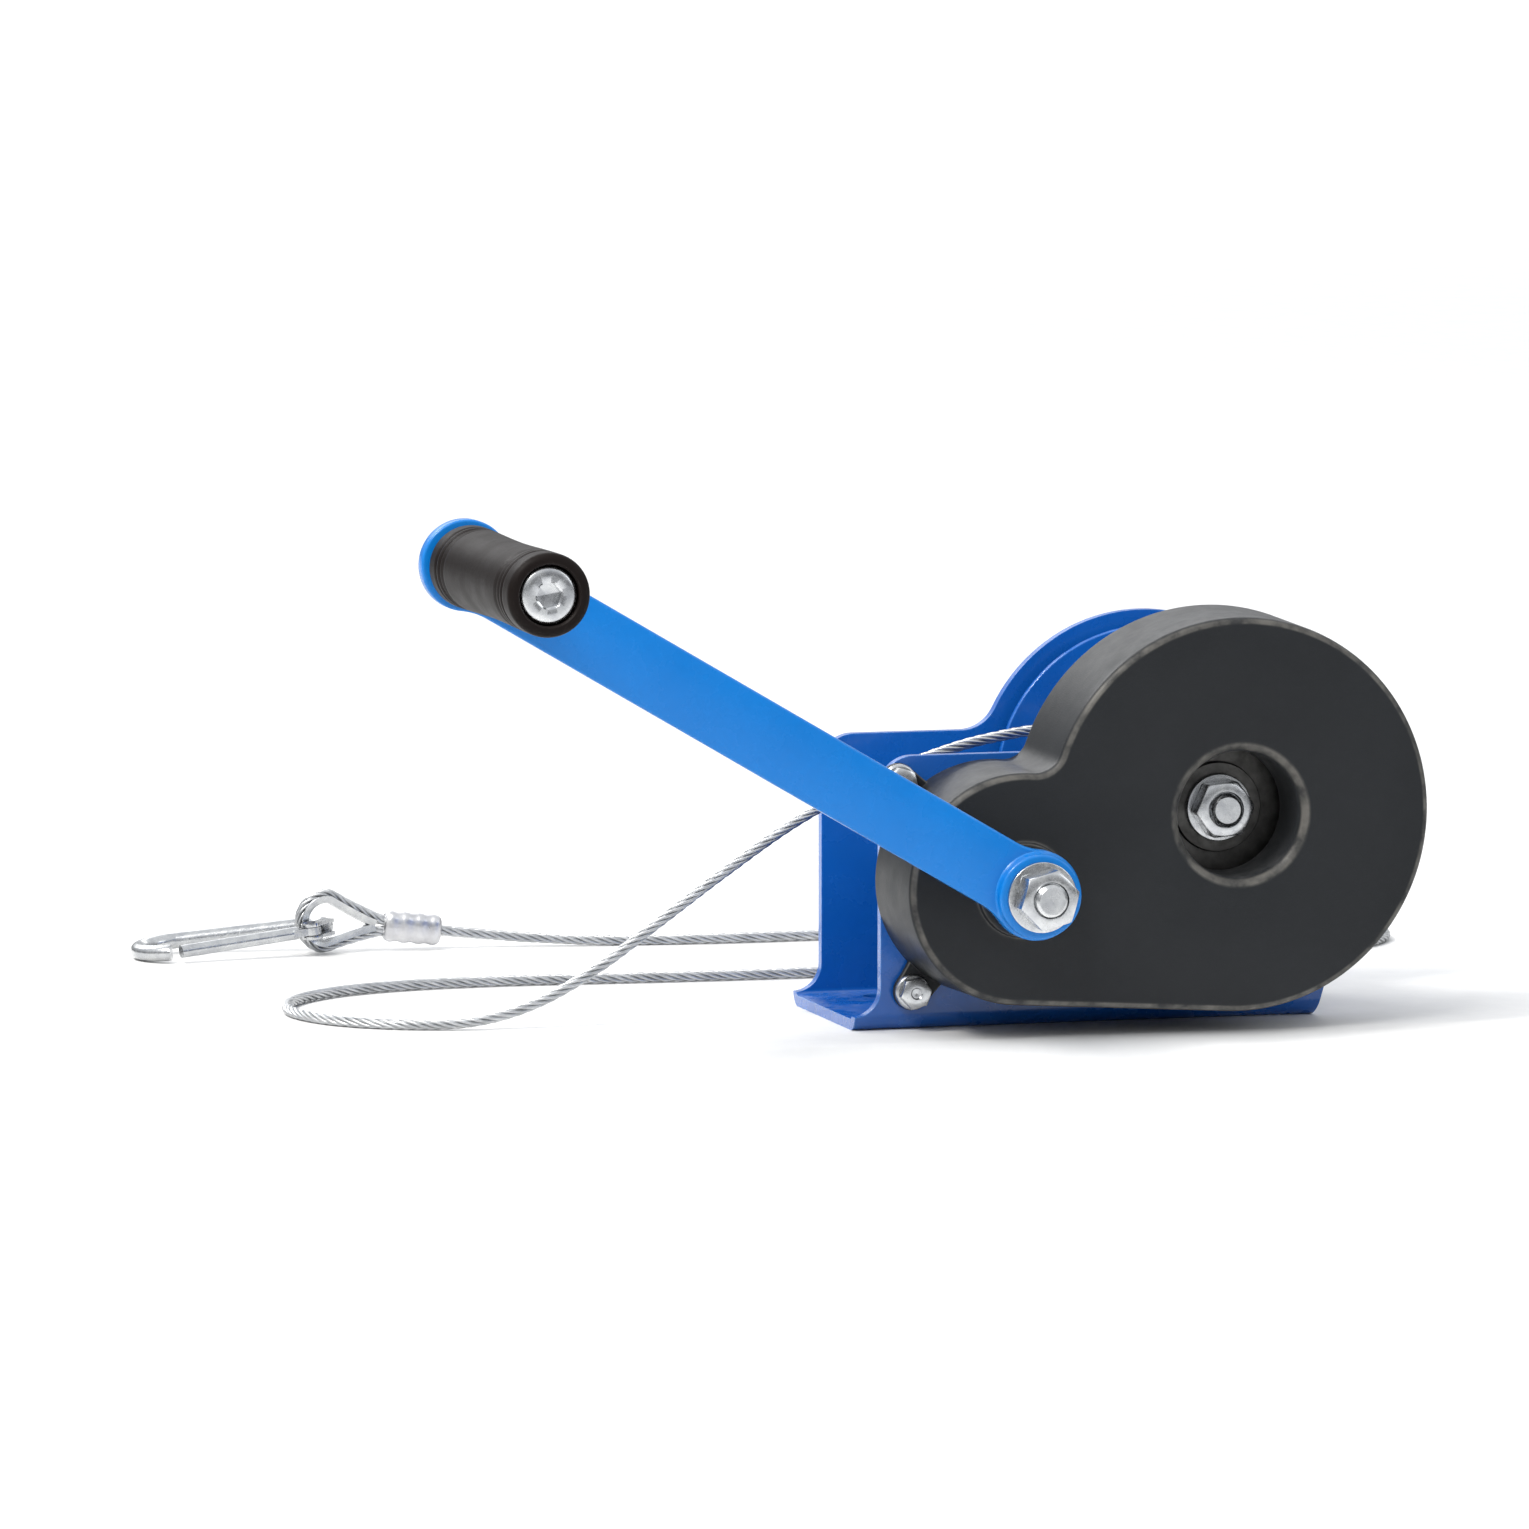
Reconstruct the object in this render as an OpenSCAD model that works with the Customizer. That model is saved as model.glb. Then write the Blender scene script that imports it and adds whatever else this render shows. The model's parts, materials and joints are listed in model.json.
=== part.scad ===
// Hand winch for a boat trailer. A crank turns a pinion, the pinion turns a large gear, and the
// gear turns a drum of wire rope between the side plates of a pressed steel frame.
// Millimetres, +Z up. The origin is the centre of the four base holes on the underside.
// The cable leaves towards -X, and the gear cover and the crank are on the -Y side.

/* [Frame] */
// Length of the base
base_l = 172; // [168:1:178]
// Width over the two side plates
frame_w = 80; // [79:0.5:82]
// Thickness of the pressed steel sheet
sheet = 4; // [3.5:0.5:4.5]
// Height of the front part of the side plates
front_h = 98; // [96:1:102]
// Radius of the round ears about the drum axis
ear_r = 62; // [61:1:64]
// Distance between the base holes along X
hole_dx = 100; // [90:1:104]
// Distance between the base holes along Y
hole_dy = 50; // [46:1:52]
// Radius of the base holes
hole_r = 5.5; // [4.5:0.5:6]

/* [Drum and cable] */
// Drum axis along X
drum_x = 52.5; // [51:0.5:53]
// Drum axis above the underside of the base
drum_z = 78; // [76:1:80]
// Radius of the drum hub
hub_r = 16; // [15:0.5:17]
// Radius of the drum flanges
flange_r = 57; // [50:1:58]
// Diameter of the wire rope
cable_d = 4; // [3.5:0.5:4]
// Layers of cable wound on the hub
cable_layers = 3; // [2:1:3]

/* [Gears] */
// Gear module
gear_m = 3; // [3:0.01:3.02]
// Teeth of the drive gear
gear_teeth = 42; // [42:1:42]
// Teeth of the pinion
pinion_teeth = 14; // [14:1:14]
// Crank shaft axis above the underside of the base
pinion_z = 54; // [53:0.5:55]

/* [Gear cover] */
// Outer radius of the cover about the drum axis
cover_r = 69.5; // [69:0.5:71]
// Outer radius of the cover about the crank shaft
lobe_r = 42; // [41:0.5:43]
// Depth of the cover in front of the side plate
cover_d = 42; // [41:0.5:44]
// Wall of the cover
cover_wall = 2.5; // [2:0.25:3]

/* [Crank] */
// Distance from the crank shaft to the grip
crank_l = 240; // [200:5:250]
// Rise of the crank arm above level
crank_rise = 30.5; // [25:0.5:40]
// Width of the crank arm
arm_w = 25; // [22:1:28]
// Thickness of the crank arm
arm_t = 6; // [5:0.5:6]
// Length of the grip
grip_l = 110; // [100:1:120]
// Radius of the grip
grip_r = 14.5; // [14:0.5:16]

/* [Hidden] */
$fn = 96;

blue = [0.02, 0.2, 0.62];
azure = [0, 0.42, 0.85];
black = [0.12, 0.12, 0.13];
zinc = [0.75, 0.76, 0.77];
cut = 1;                      // how far a cutter runs past a face

// places across the winch, along Y
plate_out = frame_w / 2;
plate_in = plate_out - sheet;
near = -plate_out;
flange_t = 2.5;
winding_y = plate_in - 8;
bush_flange = 1.5;
bush_proud = 1.5;
gear_back = near - 3;
gear_front = near - 13;
gear_hub_back = near - 2;
gear_hub_front = near - 15;
ratchet_back = near - 16;
ratchet_front = near - 21;
cover_front = near - cover_d;
arm_hub_back = near - 52;
arm_back = near - 54;
arm_front = arm_back - arm_t;
arm_hub_front = arm_front - 4;
grip_back = arm_front - 2.3;
grip_front = grip_back - grip_l;

// crank shaft axis, at the gears' centre distance from the drum axis
gear_centres = gear_m * (gear_teeth + pinion_teeth) / 2;
crank_x = drum_x - sqrt(pow(gear_centres, 2) - pow(drum_z - pinion_z, 2));
mesh_angle = atan2(pinion_z - drum_z, crank_x - drum_x);

shaft_r = 8;
thread_r = 6;
running = 0.05;               // radial clearance of a shaft in its bush
bush_r = 12;

grip_x = crank_x - crank_l * cos(crank_rise);
grip_z = pinion_z + crank_l * sin(crank_rise);
grip_bolt_r = 5;
grip_head_r = 10;

cover_screws_at = [[crank_x - 29, 14], [crank_x - 34, 89]];

pawl_at = [crank_x - 24, pinion_z + 20];
pawl_lift = 11;               // degrees the pawl is held clear of the ratchet
ratchet_r = 24;
ratchet_root = 19.5;
ratchet_teeth = 12;
tooth_face = 195;             // angle of the ratchet face that the pawl drops behind

// the free cable: out over the front of the frame, down to the surface, one turn back
// behind the winch and one turn out again to the hook
cable_top = drum_z + hub_r + cable_d * (0.5 + (cable_layers - 1) * 0.866);
cable_z = cable_d / 2 + 0.1;
ROUTE = [[30, 0, 103], [8, 0, 102], [-12, 0, 99.5], [-32, 0, 95], [-60, 0, 85], [-88, 0, 71], [-114, 0, 54],
    [-138, 0, 37], [-161, 0, 21], [-184, 0, 9], [-207, 2, 3], [-232, 10, 2.1], [-252, 28, 2.1],
    [-260, 55, 2.1], [-252, 83, 2.1], [-231, 104, 2.1], [-202, 115, 2.1], [-166, 118, 2.1],
    [-126, 115, 2.1], [-84, 112, 2.1], [-42, 111, 2.1], [0, 113, 2.1], [48, 116, 2.1],
    [96, 118, 2.1], [134, 122, 2.1], [164, 134, 2.1], [186, 157, 2.1], [189, 186, 2.1],
    [173, 211, 2.1], [145, 223, 2.1], [107, 226, 2.1], [64, 224, 2.1], [22, 220, 2.1],
    [-20, 218, 2.1], [-60, 219, 2.1], [-96, 224, 2.1], [-124, 229, 3.4], [-144, 230, 5.3],
    [-160, 230, 7.2]];
rings_per_step = 2;

// what is on the cable's end lies along -X; tilt angles keep it resting on the surface
end_at = ROUTE[len(ROUTE) - 1];
eye_tilt = 6.5;
ferrule_l = 22;
eye_x = 44;
eye_r = 10;
hook_x = 44.2;
hook_z = 10.4;
hook_tilt = 5.9;
wire_r = 3;
small_r = 8;
big_r = 15;
big_x = 56;
tangent = acos((small_r - big_r) / (big_x - small_r));
gate_at = [small_r + small_r * cos(tangent), small_r * sin(tangent)];
gate_tip = [big_x + big_r * cos(80), big_r * sin(80)];
gate_pin_r = 1.5;
wire_end = 150;               // where the small bend's wire stops short of the gate

// ---------- helpers ----------

// a flat outline in X and Z, as thick as from y0 to y1
module slab(y0, y1) {
    translate([0, y1, 0]) rotate([90, 0, 0]) linear_extrude(height = y1 - y0) children();
}

// a round bar along Y
module rod(at, r, y0, y1) {
    translate([at[0], y1, at[1]]) rotate([90, 0, 0]) cylinder(r = r, h = y1 - y0);
}

// a hexagonal bar along Y, by the distance over its flats
module hex_rod(at, flats, y0, y1) {
    translate([at[0], y1, at[1]]) rotate([90, 0, 0])
        cylinder(r = flats / sqrt(3), h = y1 - y0, $fn = 6);
}

// a straight round bar between two points in one horizontal plane
module bar(from, to, r) {
    run = to - from;
    translate(from) rotate([0, 0, atan2(run[1], run[0])]) rotate([0, 90, 0])
        cylinder(r = r, h = norm(run));
}

// part of a ring of round wire lying flat
module wire_arc(centre, ring_r, r, from_angle, sweep) {
    translate(centre) rotate([0, 0, from_angle]) rotate_extrude(angle = sweep)
        translate([ring_r, 0]) circle(r = r);
}

function polar(at, r, a) = [at[0] + r * cos(a), at[1] + r * sin(a)];

drum_at = [drum_x, drum_z];
crank_at = [crank_x, pinion_z];
grip_at = [grip_x, grip_z];

// ---------- frame ----------

foot_r = 10;
corner_r = 12;
base_front = -77.5;
front_x = base_front + 9.5;
ear_fillet = 14;
fillet_z = front_h + ear_fillet;
fillet_x = drum_x - sqrt(pow(ear_r + ear_fillet, 2) - pow(fillet_z - drum_z, 2));
fillet_meets = drum_at + ([fillet_x, fillet_z] - drum_at) * ear_r / (ear_r + ear_fillet);
rear = [base_front + base_l, 0];
rear_run = norm(rear - drum_at);
rear_angle = atan2(-drum_z, rear[0] - drum_x) + acos(ear_r / rear_run);

module side_outline() {
    circle_at = [front_x + corner_r, front_h - corner_r];
    difference() {
        union() {
            translate(drum_at) circle(r = ear_r);
            translate(circle_at) circle(r = corner_r);
            polygon([[base_front, 0], rear, polar(drum_at, ear_r, rear_angle), drum_at,
                fillet_meets, [fillet_x, front_h], [circle_at[0], front_h],
                [front_x, circle_at[1]], [front_x, foot_r + 5], [base_front, foot_r + 5]]);
        }
        translate([front_x - foot_r, foot_r + 5]) circle(r = foot_r);
        translate([fillet_x, fillet_z]) circle(r = ear_fillet);
        translate([base_front - cut, 6]) square([cut + 0.01, foot_r]);
    }
}

module channel_outline(inset, bend_r) {
    half = plate_out - inset;
    top = drum_z + ear_r + cut;
    translate([-half, inset + bend_r]) square([2 * half, top]);
    translate([-half + bend_r, inset]) square([2 * (half - bend_r), bend_r + cut]);
    for (side = [-1, 1])
        translate([side * (half - bend_r), inset + bend_r]) circle(r = bend_r);
}

module frame() color(blue) {
    reach = 2 * (ear_r + drum_x);
    difference() {
        intersection() {
            translate([-reach / 2, 0, 0]) rotate([90, 0, 90]) linear_extrude(height = reach)
                difference() {
                    channel_outline(0, 6);
                    channel_outline(sheet, 2);
                }
            slab(-plate_out - cut, plate_out + cut) side_outline();
        }
        for (at = [drum_at, crank_at])
            rod(at, bush_r, -plate_out - cut, plate_out + cut);
        rod(pawl_at, thread_r / 2, near - cut, near + sheet + cut);
        for (at = cover_screws_at)
            rod(at, 3, near - cut, near + sheet + cut);
        for (sx = [-1, 1], sy = [-1, 1])
            translate([sx * hole_dx / 2, sy * hole_dy / 2, -cut])
                cylinder(r = hole_r, h = sheet + 2 * cut);
    }
}

// flanged plastic bush in a side plate; side is -1 for the cover side and 1 for the far side
module bush(at, side) color(black) {
    inner = plate_in - bush_flange;
    outer = plate_out + bush_proud;
    difference() {
        union() {
            if (side < 0) {
                rod(at, bush_r, -outer, -plate_in);
                rod(at, bush_r + 3, -plate_in, -inner);
            } else {
                rod(at, bush_r, plate_in, outer);
                rod(at, bush_r + 3, inner, plate_in);
            }
        }
        rod(at, shaft_r + running, min(side * inner, side * outer) - cut,
            max(side * inner, side * outer) + cut);
    }
}

module drum_bush_near() bush(drum_at, -1);
module drum_bush_far() bush(drum_at, 1);
module crank_bush_near() bush(crank_at, -1);
module crank_bush_far() bush(crank_at, 1);

// ---------- gear cover ----------

// two rounds and the straight underside between them, smaller all round by shrink
module cover_outline(shrink) {
    normal = mesh_angle - 180 - acos((lobe_r - cover_r) / gear_centres);
    reach = shrink + 0.05;
    translate(drum_at) circle(r = cover_r - shrink);
    translate(crank_at) circle(r = lobe_r - shrink);
    polygon([polar(crank_at, lobe_r - reach, normal), polar(drum_at, cover_r - reach, normal),
        drum_at, crank_at]);
}

recess_r = 22.5;
recess_lip = 26;
collar_l = 24;
back_lip = 7;                 // width of the rim that closes the cover against the side plate
sleeve_r = 11;
tab_r = 6.9;

module cover_tab(at) {
    toward = crank_at - at;
    slab(near - 3, near) {
        translate(at) circle(r = tab_r);
        translate(at) rotate(atan2(toward[1], toward[0])) translate([0, -tab_r])
            square([norm(toward) - lobe_r + 5, 2 * tab_r]);
    }
}

module gear_cover() color(black) {
    edge = 5;
    difference() {
        union() {
            slab(cover_front + edge, near) cover_outline(0);
            slab(cover_front, near) cover_outline(edge / 3);
            for (at = cover_screws_at) cover_tab(at);
            rod(crank_at, lobe_r * 0.4, cover_front - 2, near);
        }
        difference() {
            union() {
                slab(cover_front + edge, near - cover_wall) cover_outline(cover_wall);
                slab(cover_front + cover_wall, near - cover_wall)
                    cover_outline(edge / 3 + cover_wall);
            }
            rod(drum_at, recess_r + cover_wall, cover_front, cover_front + collar_l);
        }
        slab(near - cover_wall - cut, near + cut) cover_outline(back_lip);
        rod(pawl_at, 7.5, near - cover_wall - cut, near + cut);
        rod(drum_at, recess_r, cover_front - cut, near + cut);
        rod(drum_at, recess_lip, cover_front - cut, cover_front + 1.5);
        rod(crank_at, sleeve_r + 1.5, cover_front - 3, near);
        for (at = cover_screws_at) rod(at, 3.3, near - 4, near + cut);
    }
}

module cover_screws() color(zinc)
    for (at = cover_screws_at) {
        rod(at, 3, near - 4, near + sheet + 4);
        rod(at, 6.6, near - 4.4, near - 3);
        hex_rod(at, 10, near - 8.5, near - 4.4);
    }

// ---------- drum and its axle ----------

module drum_shaft() color(zinc) {
    rod(drum_at, shaft_r, gear_hub_front, plate_out + 2);
    rod(drum_at, thread_r, gear_hub_front - 12, plate_out + 14);
}

module drum() color(blue)
    difference() {
        union() {
            rod(drum_at, hub_r, -plate_in + 1.8, plate_in - 1.8);
            for (y = [-winding_y - flange_t, winding_y])
                rod(drum_at, flange_r, y, y + flange_t);
        }
        rod(drum_at, shaft_r, -plate_in, plate_in);
        for (at = clamp_screws_at)
            rod(at, 2.5, winding_y - cut, winding_y + flange_t + cut);
    }

// tooth half angle of an involute gear at radius r, less a little backlash
alpha = 20;
function inv(a) = tan(a) - a * PI / 180;
function half_tooth(teeth, shift, r) =
    let (base = gear_m * teeth / 2 * cos(alpha), a = acos(min(1, base / r)))
    (PI / 2 + 2 * shift * tan(alpha)) / teeth * 180 / PI
    + (inv(alpha) - inv(a)) * 180 / PI - 0.09 / r * 180 / PI;

// stub involute outline; the shifts of two mating gears add up to nothing
module gear_outline(teeth, shift) {
    pitch = gear_m * teeth / 2;
    root = pitch - (1.1 - shift) * gear_m;
    tip = pitch + (0.8 + shift) * gear_m;
    low = max(pitch * cos(alpha), root) + 0.01;
    flank = [for (i = [0:3]) low + (tip - low) * i / 3];
    polygon([for (k = [0:teeth - 1]) let (a = 360 * k / teeth) each concat(
        [polar([0, 0], root, a - half_tooth(teeth, shift, low))],
        [for (r = flank) polar([0, 0], r, a - half_tooth(teeth, shift, r))],
        [for (i = [3:-1:0]) polar([0, 0], flank[i], a + half_tooth(teeth, shift, flank[i]))],
        [polar([0, 0], root, a + half_tooth(teeth, shift, low))])]);
}

module drive_gear() color(zinc)
    difference() {
        union() {
            slab(gear_front, gear_back) translate(drum_at)
                rotate(mesh_angle + 180 / gear_teeth) gear_outline(gear_teeth, -0.4);
            rod(drum_at, hub_r, gear_hub_front, gear_hub_back);
        }
        rod(drum_at, shaft_r, gear_hub_front - cut, gear_hub_back + cut);
        for (a = [30:60:330])
            rod(polar(drum_at, 38, a), 8, gear_front - cut, gear_back + cut);
    }

module washer(at, r, hole, y0, y1)
    difference() {
        rod(at, r, y0, y1);
        rod(at, hole, y0 - cut, y1 + cut);
    }

module nut(at, flats, hole, y0, y1)
    difference() {
        hex_rod(at, flats, y0, y1);
        rod(at, hole, y0 - cut, y1 + cut);
    }

module axle_washers() color(zinc) {
    washer(drum_at, 12, thread_r, gear_hub_front - 2, gear_hub_front);
    washer(drum_at, 12, thread_r, plate_out + 2, plate_out + 4);
}

module axle_nuts() color(zinc) {
    nut(drum_at, 19, thread_r, gear_hub_front - 10, gear_hub_front - 2);
    nut(drum_at, 19, thread_r, plate_out + 4, plate_out + 12);
}

clamp_screws_at = [for (a = [96, 124]) polar(drum_at, 40, a)];

module cable_clamp() color(zinc) {
    back = winding_y + flange_t;
    difference() {
        slab(back, back + 2.2) translate(drum_at) rotate(110) translate([40, 0])
            union() {
                square([14, 20], center = true);
                for (side = [-1, 1]) translate([0, side * 10]) circle(r = 7);
            }
        for (at = clamp_screws_at) rod(at, 2.5, back - cut, back + 3);
    }
}

module clamp_screws() color(zinc)
    for (at = clamp_screws_at) {
        rod(at, 2.5, winding_y - 1, winding_y + flange_t + 2.2);
        rod(at, 4.5, winding_y + flange_t + 2.2, winding_y + flange_t + 4.4);
    }

module cable_winding() color(zinc)
    difference() {
        rod(drum_at, cable_top - drum_z + cable_d / 2, -winding_y, winding_y);
        rod(drum_at, hub_r, -winding_y - cut, winding_y + cut);
        for (at = clamp_screws_at) rod(at, 3, winding_y - 2, winding_y + cut);
    }

// ---------- crank shaft ----------

shaft_square = 11;

module crank_shaft() color(zinc) {
    rod(crank_at, shaft_r, arm_hub_back, plate_out + 3.5);
    rod(crank_at, shaft_r - 0.8, plate_out + 3.5, plate_out + 6);
    slab(arm_hub_front, arm_hub_back) translate(crank_at) rotate(-crank_rise)
        square(shaft_square, center = true);
    rod(crank_at, thread_r, arm_hub_front - 14, arm_hub_front);
}

module pinion_gear() color(zinc)
    difference() {
        union() {
            slab(gear_front - 0.5, gear_back + 0.5) translate(crank_at)
                rotate(mesh_angle) gear_outline(pinion_teeth, 0.4);
            rod(crank_at, 12, ratchet_back, gear_front);
        }
        rod(crank_at, shaft_r, ratchet_back - cut, gear_back + 2);
    }

// saw teeth: a radial face, then a slope down to the foot of the next one
module ratchet_wheel() color(zinc)
    difference() {
        slab(ratchet_front, ratchet_back) polygon([for (k = [0:ratchet_teeth - 1])
            let (a = tooth_face + 360 * k / ratchet_teeth)
            each [polar(crank_at, ratchet_root, a), polar(crank_at, ratchet_r, a)]]);
        rod(crank_at, shaft_r, ratchet_front - cut, ratchet_back + cut);
    }

module spacer_sleeve() color(zinc)
    washer(crank_at, sleeve_r, shaft_r, arm_hub_back, ratchet_front);

module shaft_clip() color(zinc)
    difference() {
        washer(crank_at, 11.5, shaft_r - 0.8, plate_out + 3.5, plate_out + 5);
        slab(plate_out, plate_out + 6) translate(crank_at) translate([4, -2.5]) square([10, 5]);
    }

module crank_arm() color(azure)
    difference() {
        union() {
            slab(arm_front, arm_back) {
                translate(crank_at) circle(r = 16);
                translate(grip_at) circle(r = 16);
                translate(crank_at) rotate(180 - crank_rise) translate([0, -arm_w / 2])
                    square([crank_l, arm_w]);
            }
            rod(crank_at, 15, arm_hub_front, arm_hub_back);
        }
        slab(arm_hub_front - cut, arm_hub_back + cut) translate(crank_at)
            rotate(-crank_rise) square(shaft_square, center = true);
        rod(grip_at, grip_bolt_r, arm_front - cut, arm_back + cut);
    }

module crank_washer() color(zinc)
    washer(crank_at, 12.5, thread_r, arm_hub_front - 2, arm_hub_front);

module crank_nut() color(zinc)
    nut(crank_at, 19, thread_r, arm_hub_front - 12, arm_hub_front - 2);

// ---------- grip ----------

head_sink = 6;

module grip_bolt() color(zinc) {
    rod(grip_at, grip_bolt_r, grip_front + head_sink, arm_back + 9);
    rod(grip_at, 9, grip_back + 0.3, arm_front);
    difference() {
        rod(grip_at, grip_head_r, grip_front + 1, grip_front + head_sink);
        hex_rod(grip_at, 8, grip_front, grip_front + 4);
    }
}

module grip_nut() color(zinc)
    nut(grip_at, 17, grip_bolt_r, arm_back, arm_back + 8);

module grip() color(black)
    difference() {
        rod(grip_at, grip_r, grip_front, grip_back);
        rod(grip_at, grip_bolt_r + running, grip_front - cut, grip_back + cut);
        rod(grip_at, grip_head_r + 0.4, grip_front - cut, grip_front + head_sink + 0.4);
    }

// ---------- ratchet pawl ----------

module pawl_post() color(zinc) {
    rod(pawl_at, 3, near - 15, near + sheet + 2);
    rod(pawl_at, 4.8, ratchet_back + 0.4, near);
    rod(pawl_at, 4, ratchet_front - 0.4, ratchet_back + 0.4);
    rod(pawl_at, 7, ratchet_front - 3.4, ratchet_front - 0.4);
}

// drawn dropped in behind a tooth, then lifted to its rest place
module pawl() color(zinc)
    translate([pawl_at[0], 0, pawl_at[1]]) rotate([0, pawl_lift, 0])
    translate([-pawl_at[0], 0, -pawl_at[1]])
    difference() {
        slab(ratchet_front, ratchet_back) {
            translate(pawl_at) circle(r = 6.5);
            polygon([polar(crank_at, ratchet_root + 0.8, tooth_face - 2),
                polar(crank_at, ratchet_r + 0.8, tooth_face - 30),
                pawl_at + [5, -4], pawl_at + [-6.4, -1],
                polar(crank_at, ratchet_r + 5.5, tooth_face - 7),
                polar(crank_at, ratchet_r + 2, tooth_face - 2)]);
        }
        rod(pawl_at, 4 + running, ratchet_front - cut, ratchet_back + cut);
    }

module pawl_spring() color(zinc) {
    wire = 1;
    coil_r = 6.2;
    washer(pawl_at, coil_r, coil_r - wire, near - 9, near - 3);
    for (leg = [[near - 3 - wire, 22], [near - 9, 14]])
        translate([pawl_at[0] - coil_r, leg[0], pawl_at[1] - leg[1]]) cube([wire, wire, leg[1]]);
}

// ---------- free cable ----------

// smooth curve through the route's points
function route_at(i) = ROUTE[max(0, min(len(ROUTE) - 1, i))];
function between(i, t) =
    let (a = i == 0 ? 2 * ROUTE[0] - ROUTE[1] : ROUTE[i - 1], b = ROUTE[i], c = ROUTE[i + 1],
        d = i + 2 < len(ROUTE) ? ROUTE[i + 2] : 2 * c - b)
    (2 * b + (c - a) * t + (2 * a - 5 * b + 4 * c - d) * t * t
        + (3 * b - a - 3 * c + d) * t * t * t) / 2;
CABLE_LINE = concat([for (i = [0:len(ROUTE) - 2], k = [0:rings_per_step - 1])
    between(i, k / rings_per_step)], [end_at]);

module tube_along(line, r, sides) {
    count = len(line);
    rings = [for (i = [0:count - 1])
        let (run = line[min(count - 1, i + 1)] - line[max(0, i - 1)],
            side = cross([0, 0, 1], run) / norm(cross([0, 0, 1], run)),
            up = cross(run, side) / norm(run))
        [for (k = [0:sides - 1]) let (a = 360 * (k + 0.5) / sides)
            line[i] + r * (cos(a) * side + sin(a) * up)]];
    points = [for (ring = rings) each ring];
    first = [for (k = [0:sides - 1]) k];
    last = [for (k = [sides - 1:-1:0]) (count - 1) * sides + k];
    walls = [for (i = [0:count - 2], k = [0:sides - 1])
        let (a = i * sides + k, b = i * sides + (k + 1) % sides)
        [a, a + sides, b + sides, b]];
    polyhedron(points = points, faces = concat([first, last], walls));
}

module cable_free() color(zinc) tube_along(CABLE_LINE, cable_d / 2, 8);

// what is on the end is drawn along +X and turned to lie along -X, nose up by the tilt
module on_cable_end() translate(end_at) rotate([0, 0, 180]) rotate([0, -eye_tilt, 0]) children();

module cable_eye() color(zinc) on_cable_end() rotate([90, 0, 0]) {
    wire_arc([eye_x, 0, 0], eye_r, cable_d / 2, -90, 180);
    for (side = [-1, 1])
        bar([ferrule_l, side * 2.1, 0], [eye_x, side * eye_r, 0], cable_d / 2);
}

module ferrule() color(zinc) on_cable_end() rotate([90, 0, 0]) {
    for (side = [-1, 1])
        translate([0, side * 2, 0]) rotate([0, 90, 0]) cylinder(r = 3.9, h = ferrule_l);
    translate([0, -2, -3.9]) cube([ferrule_l, 4, 7.8]);
}

module thimble() color(zinc) on_cable_end() rotate([90, 0, 0]) {
    inner = 6;
    outer = eye_r - cable_d / 2;
    difference() {
        union() {
            translate([eye_x, 0, -3]) cylinder(r = outer, h = 6);
            translate([0, 0, -3]) linear_extrude(height = 6)
                polygon([[eye_x, outer], [ferrule_l + 4, 0.6], [ferrule_l + 4, -0.6],
                    [eye_x, -outer]]);
        }
        translate([eye_x, 0, -4]) cylinder(r = inner, h = 8);
        translate([0, 0, -4]) linear_extrude(height = 8)
            polygon([[eye_x, inner], [ferrule_l + 10, 0.6], [ferrule_l + 10, -0.6],
                [eye_x, -inner]]);
    }
}

// snap hook: a pear-shaped wire loop with a sprung gate along one side
eye_up = eye_x * sin(eye_tilt);
module on_hook() translate([end_at[0] - hook_x, end_at[1], hook_z]) rotate([0, 0, 180])
    rotate([0, hook_tilt, 0]) children();

module hook_body() color(zinc) on_hook() {
    wire_arc([small_r, 0, 0], small_r, wire_r, wire_end, 360 - tangent - wire_end);
    back = [[gate_at[0], -gate_at[1], 0],
        [big_x + big_r * cos(tangent), -big_r * sin(tangent), 0]];
    lap = 0.02 * (back[1] - back[0]);
    bar(back[0] - lap, back[1] + lap, wire_r - 0.06);
    wire_arc([big_x, 0, 0], big_r, wire_r, -tangent, tangent + 66);
    difference() {
        for (z = [-wire_r, 1.7]) translate([0, 0, z]) linear_extrude(height = wire_r - 1.7)
            cheek();
        translate([gate_at[0], gate_at[1], -4]) cylinder(r = gate_pin_r, h = 8);
    }
}

module cheek() {
    root = [small_r + small_r * cos(wire_end), small_r * sin(wire_end)];
    toward = root - gate_at;
    translate(gate_at) circle(r = 3.8);
    translate(gate_at) rotate(atan2(toward[1], toward[0])) translate([0, -2.8])
        square([norm(toward) + 2.5, 5.6]);
}

module gate_pin() color(zinc) on_hook() translate([gate_at[0], gate_at[1], -wire_r - 0.4])
    cylinder(r = gate_pin_r, h = 2 * wire_r + 0.8);

module hook_gate() color(zinc) on_hook() {
    run = gate_tip - gate_at;
    translate([gate_at[0], gate_at[1], 0]) rotate([0, 0, atan2(run[1], run[0])]) difference() {
        union() {
            translate([0, 0, -1.4]) cylinder(r = 3.4, h = 2.8);
            translate([0, -2.4, -1.4]) cube([8, 4.8, 2.8]);
            translate([6, 0, 0]) rotate([0, 90, 0]) cylinder(r = 2.4, h = norm(run) - 6);
        }
        translate([0, 0, -3]) cylinder(r = gate_pin_r + running, h = 6);
    }
}

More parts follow.
